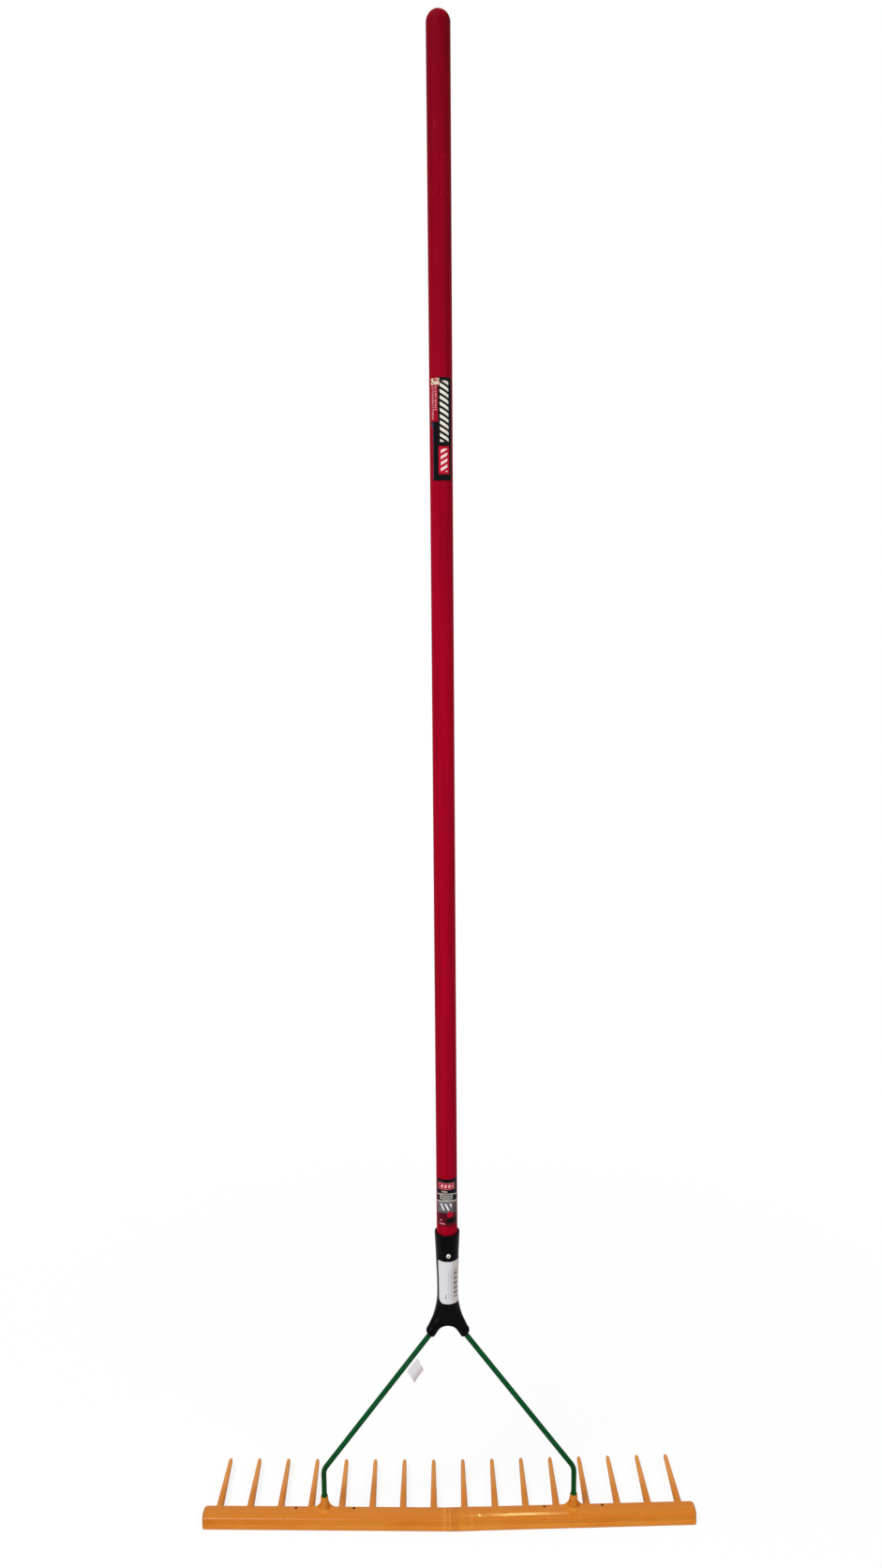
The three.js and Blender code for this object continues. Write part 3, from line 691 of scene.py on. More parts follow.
def decal_print(colours):
    """Dark ground; a column of slanting cream bars, a red panel below it, a red strip with small
    pale marks on the upper left, and a painted reflection on the lower left. Heights run down
    from the decal's top."""
    made = Finish("decal_film")
    across, up = made.surface()
    down = film_height("handle_decal") - up
    box = partial(patch, across, down)
    strip = (1 - across.step(-3.3, 0.3)) * (1 - down.step(45, 0.8))
    # Painted reflection: a pale bluish patch on the lower left
    gloss = (1 - across.step(-8.7, 0.3)) * down.step(46, 1)
    bars = made.waves(down - across * 0.6, 6.4).step(-0.1, 0.3)
    mottle = made.noise(520, 2)
    tint = made.blend(
        made.noise(260, 1).step(0.5, 0.06), linear(206, 214, 188), linear(228, 176, 158))
    marks = made.waves(down + across * 0.6, 6.2).step(0, 0.3)
    ticks = made.waves(down, 2.3).step(-0.2, 0.4) * (0.4 + mottle.step(0.5, 0.05) * 0.6)
    columns = box(-10.6, -8.2, 9, 43) + box(-6.8, -4.6, 9, 34)
    return film_finish(made, made.layers(
        colours.film,
        (strip, linear(150, 8, 34)),
        (gloss * 0.6, linear(62, 70, 104)),
        (bars * box(-1.2, 8.2, 3.6, 66), colours.cream),
        (mottle.step(0.47, 0.05) * box(-11.6, -1.6, 0.8, 7.6), tint),
        (box(-2.9, 8.9, 70.6, 99.4), colours.red),
        (marks * box(-0.6, 6.4, 73, 97), linear(236, 214, 210)),
        (ticks * columns * 0.75, linear(236, 178, 190))))


def flag_paper(sizes):
    """Pale paper that darkens towards its free edge, on a tail that is nearly clear."""
    made = Finish("flag_paper")
    out, _ = made.surface()
    fibres = made.noise(900, 4, 0.7)
    clouds = made.noise(160, 3, 0.6)
    body = made.layers(
        linear(214, 210, 215),
        (out.step(sizes.flag_reach / MM - 5, 5), linear(186, 172, 170)),
        (clouds * 0.3, linear(188, 184, 188)))
    return made.finish(
        Base_Color=body, Roughness=0.45 + fibres * 0.2,
        Alpha=0.004 + out.step(sizes.flag_tail / MM, 0.3) * 0.996,
        Normal=made.bump(fibres, 0.00004), Specular_IOR_Level=0.1)


# Pieces

# Places beside a pocket's wall, and the share of its depth that the underside has risen there
WALL_STEPS = np.array([-0.25, 0, 0.25, 0.7]) * MM
WALL_SHARES = [0, 0.02, 0.93, 1]
# Where the notch's slopes end, in half widths of the notch, and how deep it is
NOTCH_SLOPE = 1.15
NOTCH_DEPTH = 0.6 * MM
# How much the sleeve's section is larger than the bar's
SLEEVE_SWELL = 0.012
SEAM_ROUND = 0.12 * MM
BOSS_BORE = 3.475 * MM
# Painted shade on the tongue, which shows as a dark line in the gap between the halves
TONGUE_SHADE = 0.1


def head_profile(sizes):
    """The bar's outline as points of depth and height, from its lower back edge over the top
    and down to the lip, then along the underside. Returns the points, which of them lie on
    the top, and which on the underside. Depths are from the rods."""
    back, front, top = sizes.back, sizes.front, sizes.height
    edge, shoulder, crest = MM, top - 1.8 * MM, -5 * MM
    rear = [(back - 0.3 * MM, 0), (back - 0.09 * MM, 0.09 * MM), (back, 0.3 * MM)]
    rear += [(back, z) for z in np.linspace(2 * MM, shoulder, 5)]
    turn = quarter_turns(6)[1:]
    bend = np.stack([back - edge + edge * np.cos(turn), shoulder + edge * np.sin(turn)], -1)
    deep = np.concatenate([
        np.arange(back - 1.25 * MM, back - 8 * MM, -0.3 * MM), np.arange(-3.0, -12.6, -0.48) * MM])
    fall = np.where(deep > crest, 0.8 * MM / (9.5 * MM) ** 2, 1.0 * MM / (7.5 * MM) ** 2)
    flat = np.stack([deep, top - fall * (deep - crest) ** 2], -1)
    lip = smooth_rows(np.array([
        flat[-1] / MM, (-14.5, 13.05), (-15.85, 11.4), (-16.42, 9.4), (-16.5, 8.0), (-16.6, 6.8),
        (-16.95, 5.8), (-17.5, 5.1), (-17.9, 4.2), (-18.0, 2.7), (-17.95, 1.2), (-17.6, 0.3),
        (-16.9, 0)]) * MM, 3)[1:]
    low, high = front + sizes.wall, back - sizes.wall
    inner = np.array([
        front + 1.2 * MM, *(low + WALL_STEPS), *np.linspace(low + 2.5 * MM, high - 2.5 * MM, 7),
        *(high - WALL_STEPS)[::-1]])
    under = np.stack([inner, np.zeros_like(inner)], -1)
    parts = [np.array(rear), bend, flat, lip, under]
    group = np.concatenate([np.full(len(part), i) for i, part in enumerate(parts)])
    return np.vstack(parts), (group == 1) | (group == 2), group == 4


def walls_window(value, pockets):
    """One inside the pockets and nought on the walls and ribs, with a slight draft and a
    rounded floor: a table over the walls' edges, read at each value."""
    places = [edge for low, high in pockets
              for edge in (*(low + WALL_STEPS), *(high - WALL_STEPS)[::-1])]
    return np.interp(value, places, [*WALL_SHARES, *WALL_SHARES[::-1]] * len(pockets))


def head_stations(sizes, start, end, pockets):
    """Places along the bar where its outline is drawn: close together at the seam, the pocket
    walls, the boss, the small holes and the end."""
    rounding = 1 - np.cos(quarter_turns(9))
    notch = sizes.notch_width / 2 * np.array([-NOTCH_SLOPE, -1, 1, NOTCH_SLOPE])
    parts = [
        np.arange(start, end, 3 * MM), start + SEAM_ROUND * rounding, end - sizes.end_round * rounding,
        sizes.boss_place + np.arange(-22, 22.1, 0.5) * MM, sizes.notch_place + notch,
        sizes.sleeve + np.arange(0.5, 7.5, 0.5) * MM]
    parts += [hole + np.linspace(-2.2, 2.2, 23) * MM for hole in hole_places(sizes)]
    parts += [low + WALL_STEPS for low, high in pockets]
    parts += [high - WALL_STEPS for low, high in pockets]
    parts += [tine + np.linspace(-5.2, 5.2, 11) * MM for tine in tine_places(sizes)]
    stations = np.unique(np.round(np.concatenate(parts), 6))
    return stations[(stations >= start) & (stations <= end)]


def tine_places(sizes):
    """Places of one half's tines along the head."""
    return np.arange(sizes.pitch / 2, sizes.half_width - sizes.tine_root_width, sizes.pitch)


def hole_places(sizes):
    """Places of one half's small holes along the head."""
    return [sizes.boss_place + side * sizes.hole_reach for side in (-1, 1)]


def swept_back(sizes, place):
    """How far the head lies behind its bosses at a place along it."""
    return (np.abs(place) - sizes.boss_place) * sizes.sweep_back / sizes.half_width


def bar_centre(sizes):
    """Depth and height of the middle of the bar's section."""
    return np.array([(sizes.front + sizes.back) / 2, sizes.height / 2])


def drawn_in(value, centre, share):
    """A value moved towards a centre, to this share of its way from it."""
    return centre + (value - centre) * share


def bar_pockets(sizes, solid_to):
    """The hollow stretches along the bar, between a rib at each tine and the next."""
    ribs = tine_places(sizes)
    ribs = ribs[ribs - sizes.rib > solid_to]
    lows = [solid_to, *(ribs + sizes.rib / 2)]
    highs = [*(ribs - sizes.rib / 2), sizes.half_width - sizes.wall]
    return list(zip(lows, highs))


def top_relief(sizes, along, deep):
    """Height added to the bar's top: the web behind the boss, whose height falls as a hollow
    curve from the boss to the bar, the fillet round the boss's foot, the tines' roots, less
    the small holes. Also returns the painted shade inside each hole and in a thin ring round it."""
    away = np.abs(along - sizes.boss_place)
    share = np.linspace(0, 1, 40)
    reach = (sizes.gusset_reach * (1 - share) ** 2 + 2 * sizes.boss_foot_radius * share * (1 - share)
             + sizes.boss_mouth_radius * share ** 2)
    web = np.interp(away, reach[::-1], (sizes.gusset_height * share ** 2)[::-1])
    web = web * ease(-1.3 * MM, 0.9 * MM, deep) * (1 - ease(3.9 * MM, 5.3 * MM, deep))
    radius = np.hypot(along - sizes.boss_place, deep)
    reach = 2.6 * MM + 1.6 * MM * (np.clip(-deep, 0, None) / np.maximum(radius, MM)) ** 3
    fillet = 2.6 * quarter(MM, np.clip(radius - sizes.boss_foot_radius, 0, None) / reach * MM)
    raised = (web ** 3 + fillet ** 3) ** (1 / 3)
    nearest = np.abs(along[..., None] - tine_places(sizes)).min(-1)
    root = 0.5 * MM * (1 - ease(3.4 * MM, 4.9 * MM, nearest)) * ease(-0.5 * MM, 4 * MM, deep)
    away = np.min([
        np.hypot(along - hole, deep - sizes.hole_setback) for hole in hole_places(sizes)], axis=0)
    edge, depth, halo = 0.25 * MM, 3 * MM, 0.3 * MM
    hole = 1 - ease(sizes.hole_radius - edge, sizes.hole_radius, away)
    # Painted shade inside the holes and a little past their edge
    dark = 1 - ease(sizes.hole_radius, sizes.hole_radius + halo, away)
    return raised + root - depth * hole, dark


def head_bar(sizes, start, solid_to, sleeved):
    """One half of the bar: the outline carried along the stations. The underside rises into the
    pockets, the outline shrinks towards its centre at the rounded ends, and rings that shrink
    to a point close the two end faces. Also returns each point's painted shade, in the small
    holes and the notch."""
    outline, on_top, below = head_profile(sizes)
    pockets = bar_pockets(sizes, solid_to)
    end = sizes.half_width - sizes.end_crown
    stations = head_stations(sizes, start, end, pockets)
    along, (deep, high) = stations[:, None], outline.T
    half_deep = (sizes.back - sizes.front) / 2
    centre_deep, centre_high = bar_centre(sizes)
    seam = quarter(SEAM_ROUND, along - start)
    corner = np.where(deep > centre_deep, sizes.end_round, sizes.end_edge)
    shrink_deep = 1 - (quarter(corner, end - along) + seam) / half_deep
    shrink_high = 1 - (quarter(sizes.end_edge, end - along) + seam) / centre_high
    front = np.clip(1 - (deep - sizes.front) / half_deep, 0, 1.2) ** 2
    bulge = sizes.end_bulge * front * ease(end - 12 * MM, end, along)
    across = [(sizes.front + sizes.wall, sizes.back - sizes.wall)]
    window = walls_window(along, pockets) * walls_window(deep, across)
    relief, dark = top_relief(sizes, along, deep)
    dark = dark * on_top
    if sleeved:
        half_width = sizes.notch_width / 2
        notch = np.interp(
            np.abs(along - sizes.notch_place), [half_width, half_width * NOTCH_SLOPE], [1, 0])
        notch = notch * (deep < sizes.front) * (high < sizes.notch_height)
        # Painted shade in the notch
        deep, dark = deep + notch * NOTCH_DEPTH, np.maximum(dark, 0.6 * notch)
        swell = SLEEVE_SWELL * (1 - ease(sizes.sleeve + MM, sizes.sleeve + 6.5 * MM, along))
        shrink_deep, shrink_high = shrink_deep + swell, shrink_high + swell
    high = high + relief * on_top + window * below * (sizes.height - sizes.wall)
    deep = drawn_in(deep, centre_deep, shrink_deep)
    high = np.where(below & (window > 0), high, drawn_in(high, centre_high, shrink_high))
    high = np.maximum(high, 0)
    shares = np.array([0, 0.25, 0.5, 0.75, 0.93])[:, None]
    crown = sizes.end_crown * (1 - shares ** 2)
    first = np.full((len(shares), len(outline)), stations[0])
    x = np.vstack([first, along - bulge, (stations[-1] + crown - bulge[-1])[::-1]])
    y, z = (
        np.vstack([
            drawn_in(rows[0], centre, shares), rows, drawn_in(rows[-1], centre, shares)[::-1]])
        for rows, centre in ((deep, centre_deep), (high, centre_high)))
    shade = np.pad(dark, ((len(shares), len(shares)), (0, 0)))
    return tube(x, y + swept_back(sizes, x), z), shade.ravel()


def tongue_shell(sizes, low, high):
    """The tongue that joins the halves, seen as a dark line in the gap: the bar's outline drawn in
    towards its centre, between two places along the bar."""
    outline, _, _ = head_profile(sizes)
    place = np.array([low, low, high, high])[:, None]
    share = np.array([0, 0.9, 0.9, 0])[:, None]
    y, z = (drawn_in(*ways, share) for ways in zip(outline.T, bar_centre(sizes)))
    return tube(place, y + swept_back(sizes, place), z)


def tine_shell(sizes, place):
    """A tine: rounded squarish rings along its length, with a hollow fillet at the root, a
    straight taper and a rounded tip that ends in a small flat."""
    sides, tip, fillet = 28, 7 * MM, 4 * MM
    root_top, tip_top = sizes.height - 0.25 * MM, 12.8 * MM
    straight = sizes.tine_reach - tip
    turn = np.linspace(0, np.radians(74), 9)[1:]
    along = np.concatenate([
        [-2.6 * MM, -1 * MM], np.linspace(0, fillet, 9), np.linspace(2 * fillet, straight, 16),
        straight + tip * np.sin(turn) / np.sin(turn[-1])])
    share = np.clip(along / straight, 0, 1)
    flare = 1 - np.sqrt(1 - np.clip(1 - along / fillet, 0, 1) ** 2)
    width = sizes.tine_root_width + (sizes.tine_tip_width - sizes.tine_root_width) * share
    tall = sizes.tine_root_height + (sizes.tine_tip_height - sizes.tine_root_height) * share
    middle = root_top + (tip_top - root_top) * share - tall / 2 - 0.8 * MM * flare
    round_off = np.ones_like(along)
    round_off[-len(turn):] = np.cos(turn)
    width = np.pad((width + 1.8 * MM * flare) * round_off, 1)[:, None]
    tall = np.pad((tall + 1.6 * MM * flare) * round_off, 1)[:, None]
    along, middle = (np.pad(row, 1, "edge")[:, None] for row in (along, middle))
    bend = round_turns(sides) + np.pi / sides
    across, up = (np.sign(way) * np.abs(way) ** 0.72 for way in (np.cos(bend), np.sin(bend)))
    back = sizes.back + swept_back(sizes, place)
    return tube(place + width / 2 * across, back + along, middle + tall / 2 * up)


def boss_shell(sizes, bore):
    """A boss: a tapered round post with a rounded mouth and the rod's blind hole."""
    foot, mouth, top = sizes.boss_foot_radius, sizes.boss_mouth_radius, sizes.boss_top
    edge, start = 0.5 * MM, sizes.height - MM
    outer = [(0, 0.1 * MM), (foot, 0.1 * MM), (foot, 6 * MM), (foot, start)]
    outer += [(mouth + (foot - mouth) * (1 - t), start + t * (top - edge - start))
              for t in (0.3, 0.6, 1.0)]
    outer += [(mouth - edge + edge * math.cos(t), top - edge + edge * math.sin(t))
              for t in quarter_turns(6)[1:]]
    inner = [(bore + 0.35 * MM, top), (bore + 0.25 * MM, top - 0.25 * MM), (bore, top - MM),
             (bore, 3 * MM), (0, 3 * MM)]
    return turned_shell(outer + inner, 40, sizes.boss_place)


def rod_lean(rods):
    """Angle between a rod's slanting part and the upright."""
    return math.atan2(rods.place - rods.mouth_place, rods.mouth_height - rods.bend_height)


def rod_shell(sizes):
    """A rod: circles along a straight foot, a bend and a slanting part. Over the collar the
    radius swells as one less the square of the place from its middle, to the power 1.5."""
    lean = rod_lean(sizes)
    end_round = 0.8 * MM
    tangent = sizes.bend_radius * math.tan(lean / 2)
    bend_start = sizes.bend_height - tangent - sizes.foot
    bend_length = sizes.bend_radius * lean
    bend_end = bend_start + bend_length
    slant = (sizes.mouth_height - sizes.bend_height) / math.cos(lean) - tangent + sizes.insertion
    whole = bend_end + slant
    collar = sizes.collar_place - sizes.foot
    bead = collar + sizes.collar_height * (1 - np.cos(np.linspace(0, np.pi, 15))) / 2
    along = np.unique(np.round(np.concatenate([
        [0, 0.3 * MM, end_round], np.linspace(2 * MM, collar - MM, 6), bead,
        np.linspace(collar + sizes.collar_height + MM, bend_start, 5),
        np.linspace(bend_start, bend_end, 17), np.linspace(bend_end + 4 * MM, whole - MM, 30),
        [whole - end_round, whole]]), 7))
    radius = sizes.radius - quarter(end_round, np.minimum(along, whole - along))
    middle = (along - collar) / (sizes.collar_height / 2) - 1
    radius = radius + sizes.collar_swell * np.clip(1 - middle ** 2, 0, 1) ** 1.5
    along, radius = np.pad(along, 1, "edge")[:, None], np.pad(radius, 1)[:, None]
    bent = np.clip((along - bend_start) / bend_length, 0, 1) * lean
    after = np.clip(along - bend_end, 0, None)
    x = sizes.place - sizes.bend_radius * (1 - np.cos(bent)) - after * np.sin(bent)
    z = (sizes.foot + np.minimum(along, bend_start) + sizes.bend_radius * np.sin(bent)
         + after * np.cos(bent))
    turn = round_turns(sizes.sides)
    out = radius * np.cos(turn)
    return tube(x + out * np.cos(bent), radius * np.sin(turn), z + out * np.sin(bent))


# The cup's outside from its rim to the waist: shares of the height, and of the way from the
# waist's radius to the rim's
CUP_SHARES = smooth_rows([
    (1, 1), (0.83, 0.784), (0.65, 0.53), (0.46, 0.36), (0.28, 0.137), (0.12, 0.025), (0, 0)], 4)
# Sections of the socket from the waist down to an arm's mouth. OUTLINE gives the outer edge's
# place and height, and the half depth. MIDDLES gives the thickest place and its height, down to
# the arch. ARM gives from there on the thickest place and height, and the inner edge's place and
# height, after one row that only guides the curve.
OUTLINE = MM * np.array([
    (12.35, 308, 12.35), (12.5, 301.5, 12.1), (13.15, 294.6, 11.6), (14.3, 287.6, 10.75),
    (15.85, 280.9, 9.6), (17.4, 275.6, 8.6), (19.2, 271, 7.7), (20.7, 267.7, 6.9),
    (22.3, 264, 6.2), (24, 260.4, 5.7), (25.7, 257.6, 5.9), (26.1, 254.8, 5.8)])
MIDDLES = MM * np.array([
    (0, 308), (0, 301.2), (0, 293.8), (0, 286.2), (0, 278.8), (0, 272), (0, 265.4)])
ARM = MM * np.array([
    (-6.8, 263.6, -4.6, 261.9), (0, 265.4, 0, 263), (6.8, 263.6, 4.6, 261.9),
    (12.8, 260.6, 9.2, 257.7), (16.6, 256.2, 12.7, 252.7), (18.9, 252.9, 14.6, 249.7),
    (20.2, 251.1, 15.7, 248.1)])


def socket_cup(sizes):
    """The cup's profile as radius and height: floor, inside, rounded rim, and the outside down
    to the waist."""
    rim, edge, soft = sizes.rim_height, sizes.rim_round, 0.6 * MM
    waist_radius, waist = sizes.waist_radius, sizes.waist_height
    turn = quarter_turns(5)
    inside = [(0, sizes.cup_floor), (sizes.cup_floor_radius, sizes.cup_floor),
              (sizes.cup_radius, rim - 0.8 * MM)]
    lip = np.stack([sizes.cup_radius + soft * (1 - np.cos(turn)), rim - soft + soft * np.sin(turn)], -1)
    outer_lip = np.stack([
        sizes.rim_radius - edge + edge * np.sin(turn), rim - edge + edge * np.cos(turn)], -1)
    wall = np.array([waist_radius, waist]) + CUP_SHARES[1:, ::-1] * (
        sizes.rim_radius - waist_radius, rim - edge - waist)
    return np.vstack([inside, lip[1:], outer_lip, wall])


def half_ovals(middle, edge, depth, turns):
    """Points at the middle plus the way to the edge times the cosine of a turn, with the depth
    times its sine. Middles and edges are rows of place and height."""
    reach = (edge - middle)[:, None] * np.cos(turns)[:, None] + middle[:, None]
    return np.stack([reach[..., 0], depth[:, None] * np.sin(turns), reach[..., 1]], -1)


def socket_shell(sizes, rods):
    """The forked socket as two halves welded on the middle. Every section is an outer half oval
    from its thickest place to the outline and, below the arch's top, an inner one to the arch.
    Sections run from the cup's floor up inside the cup, over the rim, down the outside, along
    an arm and round its mouth into the rod's hole."""
    steps, bore, floor, edge, mouth_round = 5, sizes.bore_radius, 28.3 * MM, 0.5 * MM, 5 * MM
    cup = socket_cup(sizes)
    outline, middles, arm = (smooth_rows(rows, steps) for rows in (OUTLINE, MIDDLES, ARM))
    arm = arm[steps:]
    split = len(middles)
    turns = np.linspace(-np.pi / 2, np.pi / 2, 37)
    upper = np.concatenate([
        half_ovals(cup * (0, 1), cup, cup[:, 0], turns),
        half_ovals(middles, outline[:split, :2], outline[:split, 2], turns)[1:]])
    below = outline[split - 1:]
    outside = half_ovals(arm[:, :2], below[:, :2], below[:, 2], turns)
    inside = half_ovals(arm[:, :2], arm[:, 2:], below[:, 2], turns[::-1])
    loops = np.concatenate([outside, inside[:, 1:-1]], axis=1)
    lean = rod_lean(rods)
    inward = np.array([-math.sin(lean), 0, math.cos(lean)])
    mouth = np.array([rods.mouth_place, 0, rods.mouth_height])
    offset = loops[-1] - mouth
    depth = (offset @ inward)[:, None]
    flat = offset - depth * inward
    reach = np.linalg.norm(flat, axis=1, keepdims=True)
    unit = flat / reach
    rounding = drawn_in(reach, mouth_round, 0.35) - edge
    rings = [
        mouth + unit * (rounding + (reach - rounding) * math.cos(turn))
        + inward * depth * (1 - math.sin(turn)) for turn in np.radians((25, 50, 70, 90))]
    rings += [mouth + unit * radius + inward * down for radius, down in (
        (bore + 0.3 * MM, 0), (bore, 0.3 * MM), (bore, 14 * MM), (bore, floor), (0, floor))]
    loops = np.concatenate([loops, rings])
    points = np.vstack([upper.reshape(-1, 3), loops.reshape(-1, 3)])
    faces = np.vstack([
        grid_faces(*upper.shape[:2], closed=False),
        grid_faces(*loops.shape[:2]) + upper.shape[0] * upper.shape[1]])
    return [(points, faces), mirrored((points, faces))]


def socket_radius(sizes, heights, turn):
    """Radius of the socket at a height and a turn from the front. Above the waist it is the cup's.
    Below, it changes by the outline's way out times the square of the turn's sine, and by the half
    depth's way in times the square of its cosine."""
    edge = sizes.rim_height - sizes.rim_round
    place = (heights - sizes.waist_height) / (edge - sizes.waist_height)
    share = np.interp(place, CUP_SHARES[::-1, 0], CUP_SHARES[::-1, 1])
    outline, middles = OUTLINE[::-1], MIDDLES[::-1]
    side = np.interp(heights, outline[:, 1], outline[:, 0]) - sizes.waist_radius
    front = np.interp(heights, middles[:, 1], outline[-len(middles):, 2]) - sizes.waist_radius
    return (sizes.waist_radius + share * (sizes.rim_radius - sizes.waist_radius)
            + side * np.sin(turn) ** 2 + front * np.cos(turn) ** 2)


def rivet_shell(sizes):
    """The rivet: a turned profile laid towards the front, then turned a little. Returns it with
    each point's painted shade, which is one in the hollow of its head."""
    sides, radius, head, seat = 40, sizes.rivet_radius, 1.3 * MM, 14.36 * MM
    profile = [
        (0, 0.35 * MM), (0.75 * MM, 0.35 * MM), (0.95 * MM, 0.5 * MM), (MM, head - 0.15 * MM),
        (1.15 * MM, head), (1.6 * MM, head), (2.15 * MM, head - 0.18 * MM),
        (radius - 0.15 * MM, 0.65 * MM), (radius, 0.35 * MM), (radius, 0.05 * MM),
        (radius - 0.1 * MM, -0.25 * MM), (1.6 * MM, -0.25 * MM), (1.6 * MM, -11.9 * MM),
        (0, -12 * MM)]
    points, faces = turned_shell(profile, sides)
    shade = np.repeat(np.arange(len(profile)) < 3, sides)
    height = (RIVET_LOW.z + RIVET_HIGH.z) / 2
    laid = np.stack([points[:, 0], -points[:, 2] - seat, points[:, 1] + height], -1)
    return (turned(laid, sizes.rivet_turn), faces), shade


def handle_radius(sizes, rim, height):
    """Radius of the handle at a height: a straight taper inside the cup, then level, then a
    straight swell to the top."""
    return np.interp(
        height, [sizes.foot, rim, sizes.top - sizes.swell, sizes.top],
        [sizes.foot_radius, sizes.radius, sizes.radius, sizes.top_radius])


def handle_shell(sizes, rim):
    """The handle: its radius carried round the middle, with a bevelled foot and a round dome."""
    foot, top, bevel = sizes.foot, sizes.top_radius, 1.5 * MM
    heights = np.concatenate([
        [foot + bevel, foot + 12 * MM], np.linspace(rim - 30 * MM, rim + 30 * MM, 9),
        np.linspace(rim + 60 * MM, sizes.top - top - 10 * MM, 60)])
    body = np.stack([handle_radius(sizes, rim, heights), heights], -1)
    turn = quarter_turns(22)
    dome = np.stack([top * np.cos(turn), sizes.top - top * (1 - np.sin(turn))], -1)
    dome[-1, 0] = 0
    profile = np.vstack([[(0, foot), (sizes.foot_radius - bevel, foot)], body, dome])
    return turned_shell(profile, sizes.sides)


def film_shell(radius_at, low, high, left, right, corner, top_corner, sizes, narrower=0):
    """A thin film on a round surface. Point (i, j) lies at a height and a turn from the front,
    on the surface's radius plus the gap, and the thickness for the outer skin. The turns run
    between two edges that draw in over the rounded corners, and the left one by a further turn
    below a shoulder. Returns also each point's place on the unrolled film."""
    steps = 1 - np.cos(quarter_turns(7))
    heights = np.unique(np.round(np.concatenate([
        low + corner * steps, np.arange(low + corner, high - top_corner, 1.5 * MM),
        high - top_corner * steps]), 7))[:, None]
    radii = radius_at(heights, 0)
    draw = (quarter(corner, heights - low) + quarter(top_corner, high - heights)) / radii
    shoulder = ease(high - 52 * MM, high - 46 * MM, heights)
    first = left + narrower * (1 - shoulder) + draw
    last = right - draw
    turn = first + (last - first) * np.linspace(0, 1, 49)
    radius = radius_at(heights, turn) + sizes.lift
    front, back = (
        np.stack([reach * np.sin(turn), -reach * np.cos(turn), heights + 0 * turn], -1)
        for reach in (radius + sizes.thickness, radius))
    return sheet(front, back, turn * radii, heights - low)


def flag_piece(sizes, rods):
    """A sheet in two layers: across from the rod to the free edge, and along the rod. The outer
    layer carries on round the rod as a sleeve. It is laid out upright, turned about the rod, and
    leaned with it. Returns also each point's place on the flat sheet."""
    lean = rod_lean(rods)
    thick, loop, gap = 0.22 * MM, rods.radius + 0.3 * MM, 0.15
    turn = np.linspace(2 * np.pi - gap, gap, 40)
    run = np.linspace(loop + 0.5 * MM, sizes.flag_reach, 30)
    out = np.concatenate([loop * np.cos(turn), run])
    side = np.concatenate([loop * np.sin(turn), np.full(len(run), thick)])
    travel = np.concatenate([np.linspace(-loop * 2 * (np.pi - gap), 0, len(turn)), run])
    along = np.linspace(-sizes.flag_width / 2, sizes.flag_width / 2, 25)[:, None]
    share = np.clip((travel - loop) / (sizes.flag_reach - loop), 0, 1)
    corner = share * np.clip(0.5 - along / sizes.flag_width, 0, 1)
    bow = 0.9 * MM * np.sin(np.pi * share) * (travel > 0)
    curl = 2.2 * MM * corner ** 3
    width = 1 + 0.03 * share * np.sin(6 * share)
    normal = np.stack([np.gradient(side), -np.gradient(out)])
    normal = normal / np.hypot(*normal) * thick
    height = sizes.flag_height
    centre = (-rods.mouth_place - (rods.mouth_height - height) * math.tan(lean), 0, height)
    skins = []
    for layer in (0, 1):
        x, y = np.stack([out, side]) + normal * layer
        skin = np.stack(np.broadcast_arrays(x, y + bow + curl, along * width), -1)
        x, y, z = np.moveaxis(turned(skin, -sizes.flag_turn), -1, 0)
        leaned = (x * math.cos(lean) + z * math.sin(lean), y, z * math.cos(lean) - x * math.sin(lean))
        skins.append(np.stack(leaned, -1) + centre)
    return sheet(*skins, travel, along)


class RAKE_OT_head(bpy.types.Operator):
    """Builds the two halves of the head with their tines"""

    bl_idname = "rake.head"
    bl_label = "Head"

    def execute(self, context):
        sizes = context.scene.rake_head
        finish = head_plastic(context.scene.rake_finishes, sizes)
        half_gap = sizes.seam_gap / 2
        for side, start, solid_to in (
                ("left", sizes.seam + half_gap, sizes.seam + sizes.wall),
                ("right", half_gap - sizes.seam, sizes.sleeve)):
            left = side == "left"
            bar, dark = head_bar(sizes, start, solid_to, not left)
            shells = [bar, boss_shell(sizes, BOSS_BORE)]
            shells += [tine_shell(sizes, place) for place in tine_places(sizes)]
            shade = [dark, np.zeros(sum(len(points) for points, _ in shells[1:]))]
            if left:
                shells.append(tongue_shell(sizes, -4 * MM, solid_to - 0.5 * MM))
                # Painted shade on the tongue
                shade.append(np.full(len(shells[-1][0]), TONGUE_SHADE))
                shells = [mirrored(shell) for shell in shells]
            replaced = [name for name in TINES if (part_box(name)[0].x < 0) == left]
            add_piece(f"head_{side}", shells, finish,
                      [f"head_bar_{side}", *replaced], 42, shade=np.concatenate(shade))
        return {"FINISHED"}


class RAKE_OT_rods(bpy.types.Operator):
    """Builds the two bent rods"""

    bl_idname = "rake.rods"
    bl_label = "Rods"

    def execute(self, context):
        finish = green_coating(context.scene.rake_finishes)
        shell = rod_shell(context.scene.rake_rods)
        add_piece("rod_coat_right", [shell], finish, ["rod_right"])
        add_piece("rod_coat_left", [mirrored(shell)], finish, ["rod_left"])
        return {"FINISHED"}


